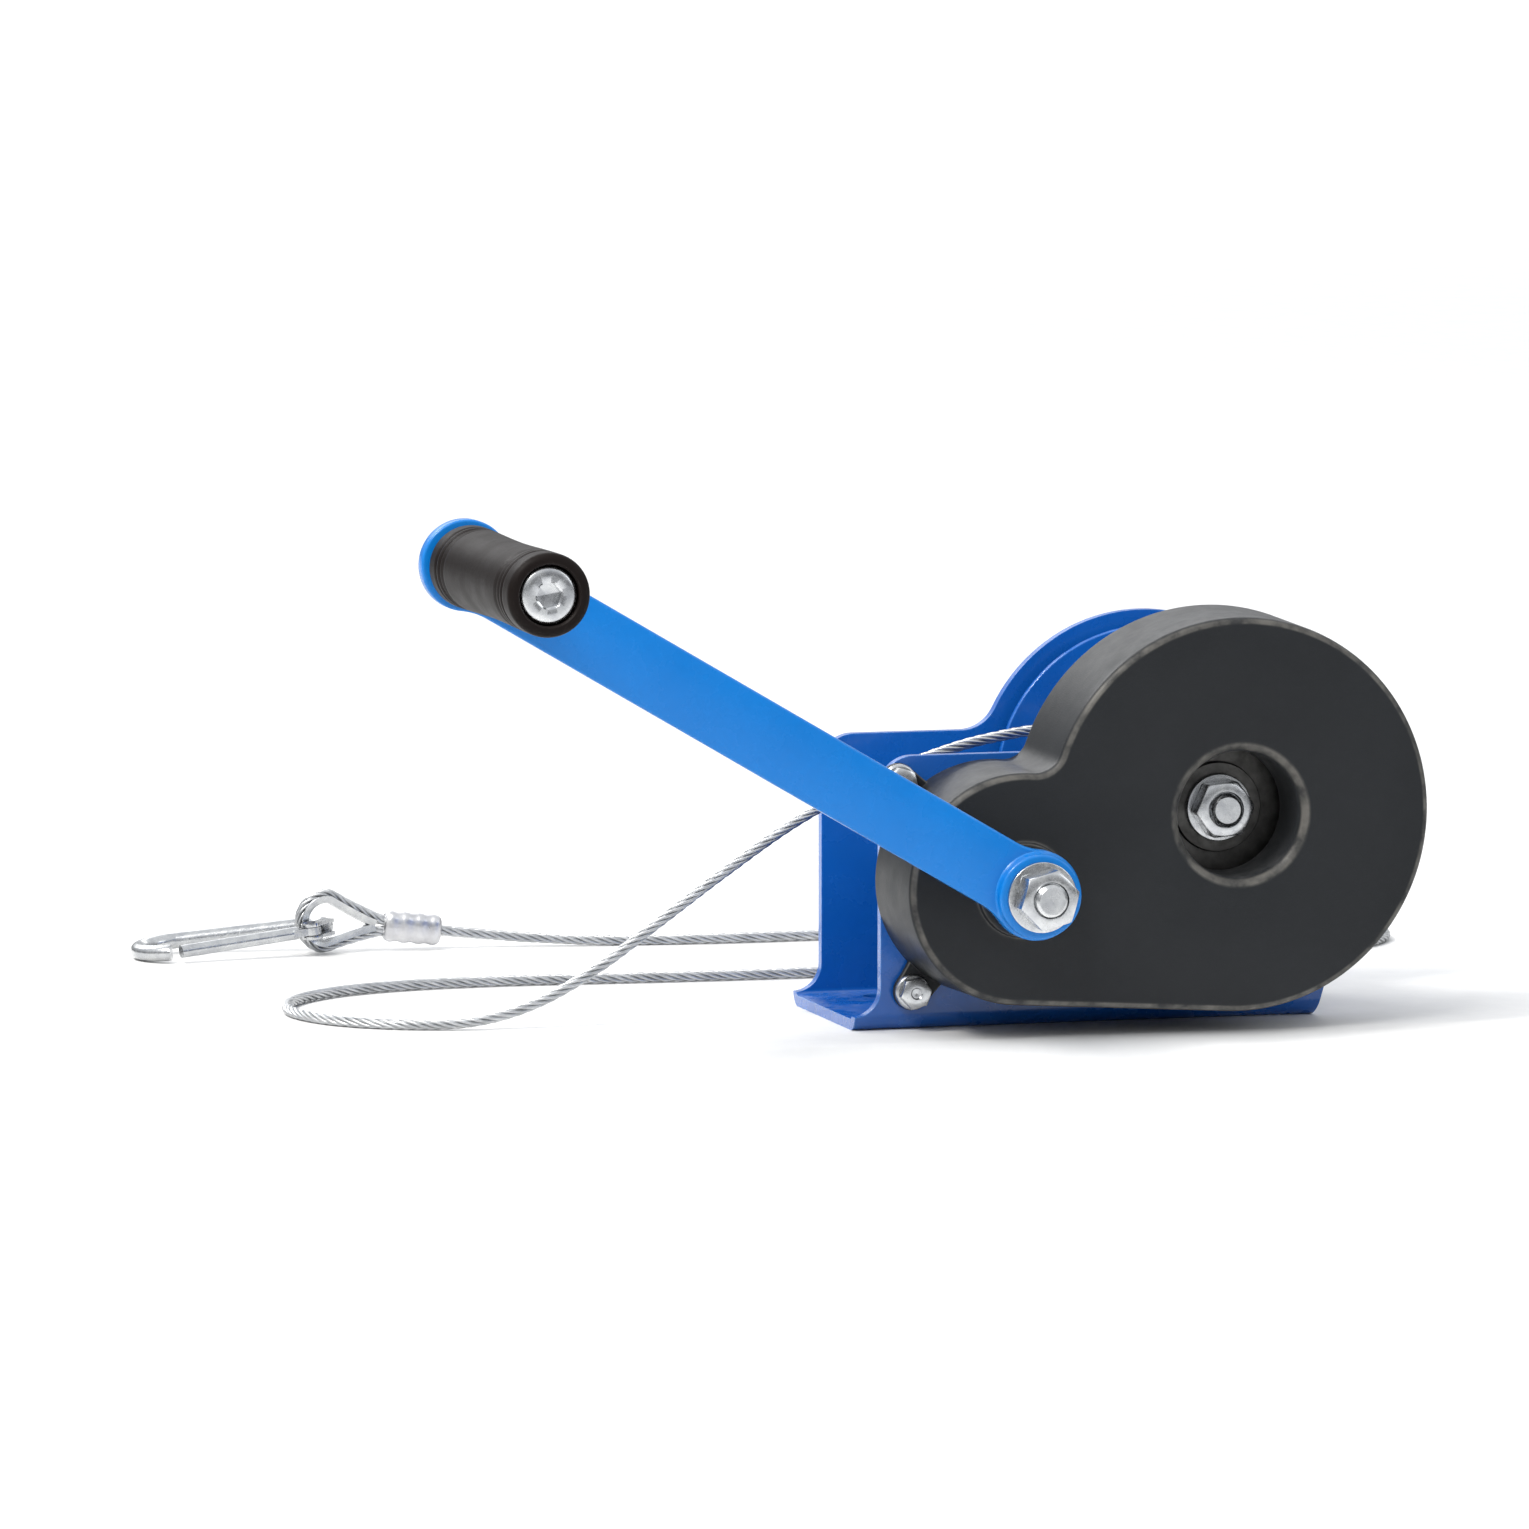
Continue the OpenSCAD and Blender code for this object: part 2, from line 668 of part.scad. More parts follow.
frame();
drum_bush_near();
drum_bush_far();
crank_bush_near();
crank_bush_far();
gear_cover();
cover_screws();
pawl_post();
pawl_spring();
drum_shaft();
drum();
drive_gear();
axle_washers();
axle_nuts();
cable_clamp();
clamp_screws();
cable_winding();
crank_shaft();
pinion_gear();
ratchet_wheel();
spacer_sleeve();
shaft_clip();
crank_arm();
crank_washer();
crank_nut();
grip_bolt();
grip_nut();
grip();
pawl();
cable_free();
cable_eye();
ferrule();
thimble();
hook_body();
gate_pin();
hook_gate();
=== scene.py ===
"""The boat trailer winch: finishes, rope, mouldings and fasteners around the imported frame.

Metres, in the frame's own axes: +X away from the cable's way out, -Y towards the crank, +Z up.
"""

import json
import math

import bmesh
import bpy
from mathutils import Matrix, Vector


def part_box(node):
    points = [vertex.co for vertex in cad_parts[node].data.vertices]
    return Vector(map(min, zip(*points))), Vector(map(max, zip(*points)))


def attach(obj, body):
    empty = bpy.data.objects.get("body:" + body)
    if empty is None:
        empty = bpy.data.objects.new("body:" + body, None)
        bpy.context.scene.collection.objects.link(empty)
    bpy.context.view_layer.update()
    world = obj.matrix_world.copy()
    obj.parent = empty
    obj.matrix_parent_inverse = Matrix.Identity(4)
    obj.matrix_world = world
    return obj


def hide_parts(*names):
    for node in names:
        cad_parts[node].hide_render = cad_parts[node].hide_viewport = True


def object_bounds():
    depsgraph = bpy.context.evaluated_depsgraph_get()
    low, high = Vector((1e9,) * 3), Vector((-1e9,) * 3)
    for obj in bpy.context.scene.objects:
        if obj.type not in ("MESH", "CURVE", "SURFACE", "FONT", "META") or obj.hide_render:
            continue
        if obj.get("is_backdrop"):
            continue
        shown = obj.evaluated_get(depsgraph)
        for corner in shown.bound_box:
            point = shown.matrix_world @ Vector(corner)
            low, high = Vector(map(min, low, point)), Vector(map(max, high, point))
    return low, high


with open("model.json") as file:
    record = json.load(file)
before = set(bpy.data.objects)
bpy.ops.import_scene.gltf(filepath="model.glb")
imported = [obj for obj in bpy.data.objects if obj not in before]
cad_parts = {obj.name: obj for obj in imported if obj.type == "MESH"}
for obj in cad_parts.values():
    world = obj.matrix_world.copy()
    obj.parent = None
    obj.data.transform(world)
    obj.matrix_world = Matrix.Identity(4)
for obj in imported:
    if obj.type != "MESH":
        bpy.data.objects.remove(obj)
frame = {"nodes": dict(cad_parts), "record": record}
CAD_LOW, CAD_HIGH = (Vector(corner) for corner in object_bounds())
RECORD = frame["record"]
JOINTS = {joint["name"]: joint for joint in RECORD["behaviour"]["joints"]}
MM = 0.001
ROUND_STEPS = 96              # sides of a turned piece

DRUM_AT = Vector(JOINTS["drum_turn"]["pos_m"])
CRANK_AT = Vector(JOINTS["crank_turn"]["pos_m"])
GRIP_AT = Vector(JOINTS["grip_spin"]["pos_m"])
PAWL_AT = Vector(JOINTS["pawl_drop"]["pos_m"])


def linked(name, data):
    """A new object with this data, in the scene."""
    thing = bpy.data.objects.new(name, data)
    bpy.context.scene.collection.objects.link(thing)
    return thing


# ---------------------------------------------------------------- camera

VIEW_AZIMUTH = math.radians(-15.8)
VIEW_ELEVATION = math.radians(6.3)
VIEW_DISTANCE = 4.75
VIEW_WIDTH = 0.545            # width of the picture at the winch
VIEW_LEFT, VIEW_DOWN = 0.022, 0.004    # its middle, from the frame's front edge and half height
SENSOR = 36


def look_direction():
    return Vector((
        math.sin(VIEW_AZIMUTH) * math.cos(VIEW_ELEVATION),
        -math.cos(VIEW_AZIMUTH) * math.cos(VIEW_ELEVATION),
        math.sin(VIEW_ELEVATION),
    ))


def make_camera():
    data = bpy.data.cameras.new("camera")
    data.sensor_width = SENSOR
    data.lens = SENSOR * VIEW_DISTANCE / VIEW_WIDTH
    camera = linked("camera", data)
    middle = (CAD_LOW.z + CAD_HIGH.z) / 2
    target = Vector((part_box("frame")[0].x - VIEW_LEFT, 0, middle - VIEW_DOWN))
    back = look_direction()
    camera.location = target + back * VIEW_DISTANCE
    camera.rotation_mode = "QUATERNION"
    camera.rotation_quaternion = (-back).to_track_quat("-Z", "Y")
    data.clip_start, data.clip_end = 0.05, 60
    bpy.context.scene.camera = camera


# ---------------------------------------------------------------- mesh tools


def add_piece(name, mesh, body, material, node):
    """A named piece that rides on a body and stands for a CAD node."""
    piece = linked(name, mesh)
    mesh.materials.append(material)
    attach(piece, body)
    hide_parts(node)
    return piece


def new_mesh(name, points, faces, sharp=35):
    mesh = bpy.data.meshes.new(name)
    mesh.from_pydata([tuple(p) for p in points], [], faces)
    work = bmesh.new()
    work.from_mesh(mesh)
    bmesh.ops.recalc_face_normals(work, faces=work.faces)
    work.to_mesh(mesh)
    work.free()
    mesh.set_sharp_from_angle(angle=math.radians(sharp))
    for polygon in mesh.polygons:
        polygon.use_smooth = True
    return mesh


def loft(rings, closed_rings=False, caps=True):
    """Points and faces of a skin over rings with the same number of points."""
    count = len(rings[0])
    points = [p for ring in rings for p in ring]
    faces = []
    last = len(rings) if closed_rings else len(rings) - 1
    for i in range(last):
        a, b = i * count, (i + 1) % len(rings) * count
        for k in range(count):
            n = (k + 1) % count
            faces.append((a + k, b + k, b + n, a + n))
    if caps and not closed_rings:
        faces.append(tuple(range(count)))
        faces.append(tuple(range(len(points) - 1, len(points) - count - 1, -1)))
    return points, faces


def add_solids(name, parts, body, material, node, sharp=35):
    """A piece of one or more closed skins, each given as its points and faces."""
    points, faces = [], []
    for more_points, more_faces in parts:
        start = len(points)
        points += more_points
        faces += [tuple(start + i for i in face) for face in more_faces]
    return add_piece(name, new_mesh(name, points, faces, sharp), body, material, node)


def turn_angles(count):
    """This many even steps of one full turn, in radians."""
    return [2 * math.pi * k / count for k in range(count)]


def quarter_round(start, end, second_first, steps=6):
    """A quarter round between two points of a profile, both of them with it.

    It sets out along the profile's second coordinate, or else along its first one.
    """
    out = []
    for k in range(steps + 1):
        slow, fast = 1 - math.cos(math.pi / 2 * k / steps), math.sin(math.pi / 2 * k / steps)
        u, v = (slow, fast) if second_first else (fast, slow)
        out.append((start[0] + (end[0] - start[0]) * u, start[1] + (end[1] - start[1]) * v))
    return out


def around(at, radius, angle, y):
    """The point at this radius and angle about the line along Y through at."""
    return Vector((at.x + radius * math.cos(angle), y, at.z + radius * math.sin(angle)))


def lathe(at, profile):
    """A closed profile of (radius, y), turned about the line along Y through at."""
    rings = [[around(at, radius, a, y) for a in turn_angles(ROUND_STEPS)]
             for radius, y in profile]
    return loft(rings, closed_rings=True)


def rounded(corners, radius):
    """A closed profile, its corners cut to arcs; each is (radius, y) and maybe its own size."""
    out = []
    count, steps = len(corners), 3
    for i, corner in enumerate(corners):
        here = Vector(corner[:2])
        before, after = Vector(corners[i - 1][:2]), Vector(corners[(i + 1) % count][:2])
        size = corner[2] if len(corner) > 2 else radius
        one, two = before - here, after - here
        size = min(size, one.length / 2, two.length / 2)
        if size <= 0 or one.length < 1e-9 or two.length < 1e-9:
            out.append(tuple(here))
            continue
        start, end = here + one.normalized() * size, here + two.normalized() * size
        for k in range(steps + 1):
            t = k / steps
            out.append(tuple(start * (1 - t) ** 2 + here * 2 * t * (1 - t) + end * t ** 2))
    return out


def smooth_line(points, steps):
    """The Catmull-Rom curve through the points."""
    first, last = 2 * points[0] - points[1], 2 * points[-1] - points[-2]
    line = [first, *points, last]
    out = []
    for i in range(1, len(line) - 2):
        a, b, c, d = line[i - 1:i + 3]
        for k in range(steps):
            t = k / steps
            out.append((2 * b + (c - a) * t + (2 * a - 5 * b + 4 * c - d) * t * t
                        + (3 * b - a - 3 * c + d) * t ** 3) / 2)
    out.append(points[-1])
    return out


def even_line(line, spacing):
    """The same line with points at an even spacing."""
    out = [line[0]]
    left = spacing
    for a, b in zip(line, line[1:]):
        length = (b - a).length
        along = left
        while along < length:
            out.append(a.lerp(b, along / length))
            along += spacing
        left = along - length
    if (out[-1] - line[-1]).length > spacing * 0.3:
        out.append(line[-1])
    else:
        out[-1] = line[-1]
    return out


def carried_frames(line):
    """Tangent and two normals at each point, turned as little as possible."""
    count = len(line)
    tangents = [(line[min(i + 1, count - 1)] - line[max(i - 1, 0)]).normalized()
                for i in range(count)]
    up = Vector((0, 0, 1)) if abs(tangents[0].z) < 0.9 else Vector((0, 1, 0))
    side = tangents[0].cross(up).normalized()
    frames = []
    for i, tangent in enumerate(tangents):
        if i:
            side = (side - tangent * side.dot(tangent)).normalized()
        frames.append((tangent, side, tangent.cross(side)))
    return frames


def tube(line, radius):
    """A round bar along the line, with flat ends."""
    rings = [[point + radius * (math.cos(a) * side + math.sin(a) * up) for a in turn_angles(10)]
             for point, (_, side, up) in zip(line, carried_frames(line))]
    return loft(rings)


def rope(line, diameter, lay, sides=6):
    """One skin over round strands that touch and are laid helically along the even line."""
    strands = 6
    strand_r = diameter / 2 / 3
    orbit = diameter / 2 - strand_r
    spacing = (line[1] - line[0]).length
    section = []
    for k in range(sides):
        off = math.pi / strands * (2 * k / sides - 1)
        across = orbit * math.sin(off)
        section.append(orbit * math.cos(off) + math.sqrt(max(0.0, strand_r ** 2 - across ** 2)))
    count = strands * sides
    rings = []
    for i, (point, (_, side, up)) in enumerate(zip(line, carried_frames(line))):
        turn = 2 * math.pi * i * spacing / lay
        ring = []
        for k in range(count):
            a = turn + 2 * math.pi * (k / count - 0.5 / strands)
            ring.append(point + section[k % sides] * (math.cos(a) * side + math.sin(a) * up))
        rings.append(ring)
    return loft(rings)


# ---------------------------------------------------------------- cable

CABLE_D = 4 * MM
CABLE_LAYERS = 3
ROPE_LAY = 26 * MM
ROPE_SHARP = 70               # degrees, so that the grooves between strands stay soft
WINDING_LOW, WINDING_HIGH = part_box("cable_winding")
OUTER_TURN_R = (WINDING_HIGH.z - WINDING_LOW.z) / 2 - CABLE_D / 2
CABLE_EXIT = Vector((DRUM_AT.x, 0, DRUM_AT.z + OUTER_TURN_R))

# the route that part.scad gives, out of the drum, down to the surface and on to the hook
ROUTE_MM = [
    (30, 0, 103), (8, 0, 102), (-12, 0, 99.5), (-32, 0, 95), (-60, 0, 85), (-88, 0, 71),
    (-114, 0, 54), (-138, 0, 37), (-161, 0, 21), (-184, 0, 9), (-207, 2, 3), (-232, 10, 2.1),
    (-252, 28, 2.1), (-260, 55, 2.1), (-252, 83, 2.1), (-231, 104, 2.1), (-202, 115, 2.1),
    (-166, 118, 2.1), (-126, 115, 2.1), (-84, 112, 2.1), (-42, 111, 2.1), (0, 113, 2.1),
    (48, 116, 2.1), (96, 118, 2.1), (134, 122, 2.1), (164, 134, 2.1), (186, 157, 2.1),
    (189, 186, 2.1), (173, 211, 2.1), (145, 223, 2.1), (107, 226, 2.1), (64, 224, 2.1),
    (22, 220, 2.1), (-20, 218, 2.1), (-60, 219, 2.1), (-96, 224, 2.1), (-124, 229, 3.4),
    (-144, 230, 5.3), (-160, 230, 7.2),
]
ROUTE = [CABLE_EXIT] + [Vector(point) * MM for point in ROUTE_MM]
END_AT = ROUTE[-1]
FERRULE_L = 22 * MM
EYE_X = 44 * MM                # middle of the eye, from the cable's end
EYE_TILT = math.radians(6.5)


def cable_end_frame():
    """Where the ferrule, eye and thimble lie: along -X from the cable's end, nose up."""
    return (Matrix.Translation(END_AT) @ Matrix.Rotation(math.pi, 4, "Z")
            @ Matrix.Rotation(-EYE_TILT, 4, "Y"))


def make_cable(material):
    """The free cable along its route; also gives back the line that it follows."""
    line = even_line(smooth_line(ROUTE, 24), 1.6 * MM)
    piece = add_solids("free_cable", [rope(line, CABLE_D, ROPE_LAY)], "frame_body",
                       material, "cable_free", ROPE_SHARP)
    return piece, line


def eye_line():
    """The cable's way out of the ferrule, round the thimble and back."""
    eye_r, gap = 10 * MM, 2.1 * MM
    points = [Vector((FERRULE_L * 0.4, 0, gap)), Vector((FERRULE_L, 0, gap))]
    reach = EYE_X - FERRULE_L
    for t in (0.25, 0.5, 0.75):
        points.append(Vector((FERRULE_L + reach * t, 0, gap + (eye_r - gap) * (t ** 1.2))))
    for k in range(9):
        a = math.pi / 2 - math.pi * k / 8
        points.append(Vector((EYE_X + eye_r * math.cos(a), 0, eye_r * math.sin(a))))
    for t in (0.75, 0.5, 0.25):
        points.append(Vector((FERRULE_L + reach * t, 0, -gap - (eye_r - gap) * (t ** 1.2))))
    points += [Vector((FERRULE_L, 0, -gap)), Vector((FERRULE_L * 0.4, 0, -gap))]
    place = cable_end_frame()
    return [place @ point for point in points]


def make_cable_eye(material):
    line = even_line(smooth_line(eye_line(), 12), 1.2 * MM)
    return add_solids("cable_loop", [rope(line, CABLE_D, ROPE_LAY)], "frame_body",
                      material, "cable_eye", ROPE_SHARP)


def make_winding(material):
    """The outer layer as laid rope, on a plain core that stands for the layers under it."""
    turns = round((WINDING_HIGH.y - WINDING_LOW.y) / CABLE_D)
    steps = 84
    low, high = WINDING_LOW.y, WINDING_HIGH.y
    line = [around(DRUM_AT, OUTER_TURN_R, 2 * math.pi * i / steps, low + CABLE_D * (0.5 + i / steps))
            for i in range(turns * steps - steps // 2)]
    radial_step = CABLE_D * 0.866
    parts = [rope(even_line(line, 1.9 * MM), CABLE_D, ROPE_LAY, sides=5)]
    for layer in range(1, CABLE_LAYERS):
        for side, y in ((-1, low), (1, high)):
            radius, ring_at = OUTER_TURN_R - layer * radial_step, y - side * CABLE_D / 2
            ring = [around(DRUM_AT, radius, 2 * math.pi * k / 72, ring_at) for k in range(73)]
            parts.append(tube(ring, CABLE_D / 2))
    core_r = OUTER_TURN_R - radial_step * 0.4
    parts.append(lathe(DRUM_AT, [(16 * MM, low + MM), (core_r, low + 2 * MM),
                                 (core_r, high - 2 * MM), (16 * MM, high - MM)]))
    return add_solids("drum_winding", parts, "drum_body", material, "cable_winding",
                      ROPE_SHARP)


def make_ferrule(material):
    """A pressed sleeve on both runs of cable, with the die's flats and rounded ends."""
    half_w, half_h = 3.9 * MM, 5.85 * MM
    place = cable_end_frame()
    stations = [(0, 0.62), (0.02, 0.80), (0.06, 0.93), (0.12, 1.0)]
    presses = [0.12 + 0.76 * (k + 0.5) / 3 for k in range(3)]
    inner = [0.12 + 0.76 * k / 36 for k in range(1, 36)]
    stations += [(t, 1.0 - 0.075 * max(0.0, 1 - (min(abs(t - p) for p in presses) / 0.09) ** 2))
                 for t in inner]
    stations += [(1 - t, s) for t, s in stations[3::-1]]
    rings = []
    for t, size in stations:
        ring = []
        for a in turn_angles(48):
            c, s = math.cos(a), math.sin(a)
            x = math.copysign(abs(c) ** 0.8, c) * half_w
            z = math.copysign(abs(s) ** 0.72, s) * half_h
            ring.append(place @ Vector((t * FERRULE_L, x * size, z * size)))
        rings.append(ring)
    return add_solids("cable_ferrule", [loft(rings)], "frame_body", material,
                      "ferrule")


def make_thimble(material):
    """A grooved teardrop of sheet that the cable's eye lies in."""
    seat = 7.9 * MM
    point_x, slit = FERRULE_L + 3.5 * MM, 0.4 * MM
    place = cable_end_frame()
    outline = []
    for k in range(12):
        t = k / 12
        outline.append(Vector((point_x + (EYE_X - point_x) * t, seat * t ** 1.15 + slit * (1 - t))))
    for k in range(25):
        a = math.pi / 2 - math.pi * k / 24
        outline.append(Vector((EYE_X + seat * math.cos(a), seat * math.sin(a))))
    outline += [Vector((p.x, -p.y)) for p in outline[11::-1]]
    section = [(0.2, -2.4), (1.7, -2.9), (1.9, -2.3), (0.7, -1.7), (0.0, 0), (0.7, 1.7), (1.9, 2.3),
               (1.7, 2.9), (0.2, 2.4), (-0.9, 1.9), (-1.3, 0), (-0.9, -1.9)]
    rings = []
    count = len(outline)
    for i, p in enumerate(outline):
        run = (outline[min(i + 1, count - 1)] - outline[max(i - 1, 0)]).normalized()
        out = Vector((-run.y, run.x))
        rings.append([place @ Vector((p.x + out.x * u * MM, v * MM, p.y + out.y * u * MM))
                      for u, v in section])
    return add_solids("cable_thimble", [loft(rings)], "frame_body", material,
                      "thimble")


# ---------------------------------------------------------------- turned and cut pieces


def hexagon_radius(angle, flats, turn):
    """Distance from a hexagon's centre to its side at this angle."""
    sector = math.pi / 3
    off = (angle - turn) % sector - sector / 2
    return flats / 2 / math.cos(off)


def hex_nut(at, flats, bore, y0, y1, turn=0.0):
    """A nut with both faces chamfered at 30 degrees and a countersunk thread."""
    face_r = flats / 2 * 0.96
    slope = math.tan(math.radians(30))
    sink = 0.6 * MM
    rings = []

    def ring(radius_at, y_at):
        rings.append([around(at, radius_at(a), a, y_at(radius_at(a)))
                      for a in turn_angles(ROUND_STEPS)])

    def side(a):
        return hexagon_radius(a, flats, turn)

    ring(lambda a: bore, lambda r: y0 + sink)
    ring(lambda a: bore + sink, lambda r: y0)
    ring(lambda a: face_r, lambda r: y0)
    ring(side, lambda r: y0 + (r - face_r) * slope)
    ring(side, lambda r: y1 - (r - face_r) * slope)
    ring(lambda a: face_r, lambda r: y1)
    ring(lambda a: bore + sink, lambda r: y1)
    ring(lambda a: bore, lambda r: y1 - sink)
    return loft(rings, closed_rings=True)


def stud(at, radius, y_tip, y_root, pitch=1.75 * MM):
    """A threaded end along Y, with a chamfered tip."""
    depth, count = pitch * 0.3, 48
    steps = max(8, int(abs(y_root - y_tip) / pitch * 8))
    towards = 1 if y_root > y_tip else -1
    rings = []
    for i in range(steps + 1):
        y = y_tip + (y_root - y_tip) * i / steps
        cone = radius - 1.3 * MM + abs(y - y_tip) * 1.2
        ring = []
        for k in range(count):
            a = 2 * math.pi * k / count
            phase = (abs(y - y_tip) / pitch + towards * k / count) % 1.0
            thread = radius - depth * (1 - abs(2 * phase - 1)) ** 0.8
            ring.append(around(at, min(thread, cone), a, y))
        rings.append(ring)
    return loft(rings)


def turned(at, corners, radius=0.4 * MM):
    """A solid of revolution about the line along Y, its corners (radius, y) rounded."""
    axis_r = 0.01 * MM
    profile = rounded([(max(r, axis_r), y, *more) for r, y, *more in corners], radius)
    return lathe(at, profile)


def socket_head(at, radius, y_face, y_back, flats, depth):
    """A low domed head with a hexagonal socket, facing -Y."""
    dome = 1.6 * MM
    rings = []

    def ring(radius_at, y):
        rings.append([around(at, radius_at(a), a, y) for a in turn_angles(ROUND_STEPS)])

    ring(lambda a: 0.4 * MM, y_back)
    ring(lambda a: radius, y_back)
    mouth = flats / 2 * 1.22
    for k in range(9):
        t = math.pi / 2 * k / 8
        r = mouth + (radius - mouth) * math.cos(t) ** 0.6 if k < 8 else mouth
        y = y_face + dome * (1 - math.sin(t))
        ring(lambda a, r=r: r, y)
    ring(lambda a: hexagon_radius(a, flats, 0.2) * 0.99, y_face + 0.5 * MM)
    ring(lambda a: hexagon_radius(a, flats, 0.2) * 0.98, y_face + depth)
    ring(lambda a: 0.3 * MM, y_face + depth + 0.8 * MM)
    return loft(rings)


def offset_outline(outline, inset):
    """A closed, counterclockwise outline in X and Z moved inwards along its normals."""
    out = []
    count = len(outline)
    for i, (x, z) in enumerate(outline):
        (x0, z0), (x1, z1) = outline[i - 1], outline[(i + 1) % count]
        run = Vector((x1 - x0, z1 - z0)).normalized()
        out.append((x - run.y * inset, z + run.x * inset))
    return out


def arc(at, radius, start, end, steps):
    """Points of an arc in X and Z about at, without its last one; angles in radians."""
    return [(at[0] + radius * math.cos(a), at[1] + radius * math.sin(a))
            for a in (start + (end - start) * k / steps for k in range(steps))]


def placed_outline(outline, at, turn):
    """The outline turned by this angle, in radians, and moved to at."""
    cos, sin = math.cos(turn), math.sin(turn)
    return [(at.x + x * cos - z * sin, at.z + x * sin + z * cos) for x, z in outline]


def outline_ring(outline, y):
    return [Vector((x, y, z)) for x, z in outline]


def inset_ring(outline, inset, y):
    return outline_ring(offset_outline(outline, inset), y)


def plate(outline, y0, y1, edge):
    """A flat plate with rounded edges all round."""
    profile = quarter_round((edge, y0), (0, y0 + edge), False, 4)
    profile += quarter_round((0, y1 - edge), (edge, y1), True, 4)
    return loft([inset_ring(outline, inset, y) for inset, y in profile])


def solid_union(name, solids):
    """One mesh of several closed solids that run into each other."""
    pieces = [linked(f"{name}_{i}", new_mesh(f"{name}_{i}", points, faces))
              for i, (points, faces) in enumerate(solids)]
    base, *others = pieces
    for other in others:
        change = base.modifiers.new(other.name, "BOOLEAN")
        change.operation, change.object, change.solver = "UNION", other, "EXACT"
    depsgraph = bpy.context.evaluated_depsgraph_get()
    result = bpy.data.meshes.new_from_object(base.evaluated_get(depsgraph))
    result.name = name
    for piece in pieces:
        bpy.data.meshes.remove(piece.data)
    result.set_sharp_from_angle(angle=math.radians(35))
    return result


# ---------------------------------------------------------------- finishes


class Finish:
    """A procedural material on one Principled shader, with the patterns they all share."""

    def __init__(self, name, metallic=0.0, coat=0.0, coat_roughness=0.1, specular=0.5):
        self.material = bpy.data.materials.new(name)
        self.material.use_nodes = True
        self.tree = self.material.node_tree
        self.shader = self.tree.nodes["Principled BSDF"]
        for key, value in (("Metallic", metallic), ("Coat Weight", coat),
                           ("Coat Roughness", coat_roughness), ("Specular IOR Level", specular)):
            self.shader.inputs[key].default_value = value
        self.where = self.node("ShaderNodeTexCoord").outputs["Object"]
        self.normal = self.node("ShaderNodeNewGeometry").outputs["Normal"]
        self.relief = None

    def node(self, kind, inputs=None, **settings):
        """A new node; each input is a number, a colour or what another node gives."""
        node = self.tree.nodes.new(kind)
        for key, value in settings.items():
            setattr(node, key, value)
        for key, source in (inputs or {}).items():
            self.join(source, node.inputs[key])
        return node

    def join(self, source, target):
        if isinstance(source, (int, float)):
            target.default_value = source
        elif isinstance(source, tuple):
            target.default_value = (*source, 1.0)
        else:
            self.tree.links.new(source, target)

    def noise(self, size, detail=4.0, roughness=0.55, stretch=None, warp=0.0):
        """Smooth noise whose blobs are about size metres across."""
        where = self.where
        if stretch:
            mapping = self.node("ShaderNodeMapping", {"Vector": where})
            mapping.inputs["Scale"].default_value = stretch
            where = mapping.outputs["Vector"]
        return self.node("ShaderNodeTexNoise", {
            "Vector": where, "Scale": 1 / size, "Detail": detail, "Roughness": roughness,
            "Distortion": warp}).outputs["Fac"]

    def cells(self, size):
        """Distance to the nearest of scattered points about size metres apart."""
        return self.node("ShaderNodeTexVoronoi", {
            "Vector": self.where, "Scale": 1 / size}).outputs["Distance"]

    def remap(self, value, low, high, to_low=0.0, to_high=1.0):
        return self.node("ShaderNodeMapRange", {
            "Value": value, "From Min": low, "From Max": high, "To Min": to_low,
            "To Max": to_high}, clamp=True).outputs["Result"]

    def math(self, operation, a, b=0.0):
        return self.node("ShaderNodeMath", {0: a, 1: b}, operation=operation).outputs[0]

    def mix(self, factor, a, b):
        return self.node("ShaderNodeMix", {"Factor": factor, "A": a, "B": b},
                         data_type="RGBA").outputs["Result"]

    def bump(self, height, depth, strength):
        """Relief of this depth in metres, on top of what is there."""
        inputs = {"Strength": strength, "Distance": depth, "Height": height}
        if self.relief:
            inputs["Normal"] = self.relief
        self.relief = self.node("ShaderNodeBump", inputs).outputs["Normal"]
        self.join(self.relief, self.shader.inputs["Normal"])

    def along(self, vector, axis):
        return self.node("ShaderNodeSeparateXYZ", {"Vector": vector}).outputs[axis]

    def facing_up(self):
        """1 on surfaces that face up at rest, where dust settles, and 0 on the rest."""
        return self.remap(self.along(self.normal, "Z"), 0.35, 0.95)

    def front_rounding(self):
        """1 on the rounding between a front face and its walls, 0 on the face and the walls."""
        front = self.math("ABSOLUTE", self.along(self.normal, "Y"))
        return self.math("MULTIPLY", self.remap(front, 0.4, 0.65), self.remap(front, 0.99, 0.93))

    def edge(self, radius):
        """Near 1 along sharp outer edges and 0 on open faces."""
        bevel = self.node("ShaderNodeBevel", {"Radius": radius}, samples=4)
        dot = self.node("ShaderNodeVectorMath", {0: bevel.outputs["Normal"], 1: self.normal},
                        operation="DOT_PRODUCT")
        return self.remap(dot.outputs["Value"], 0.995, 0.86)

    def set(self, colour, roughness):
        self.join(colour, self.shader.inputs["Base Color"])
        self.join(roughness, self.shader.inputs["Roughness"])
        return self.material


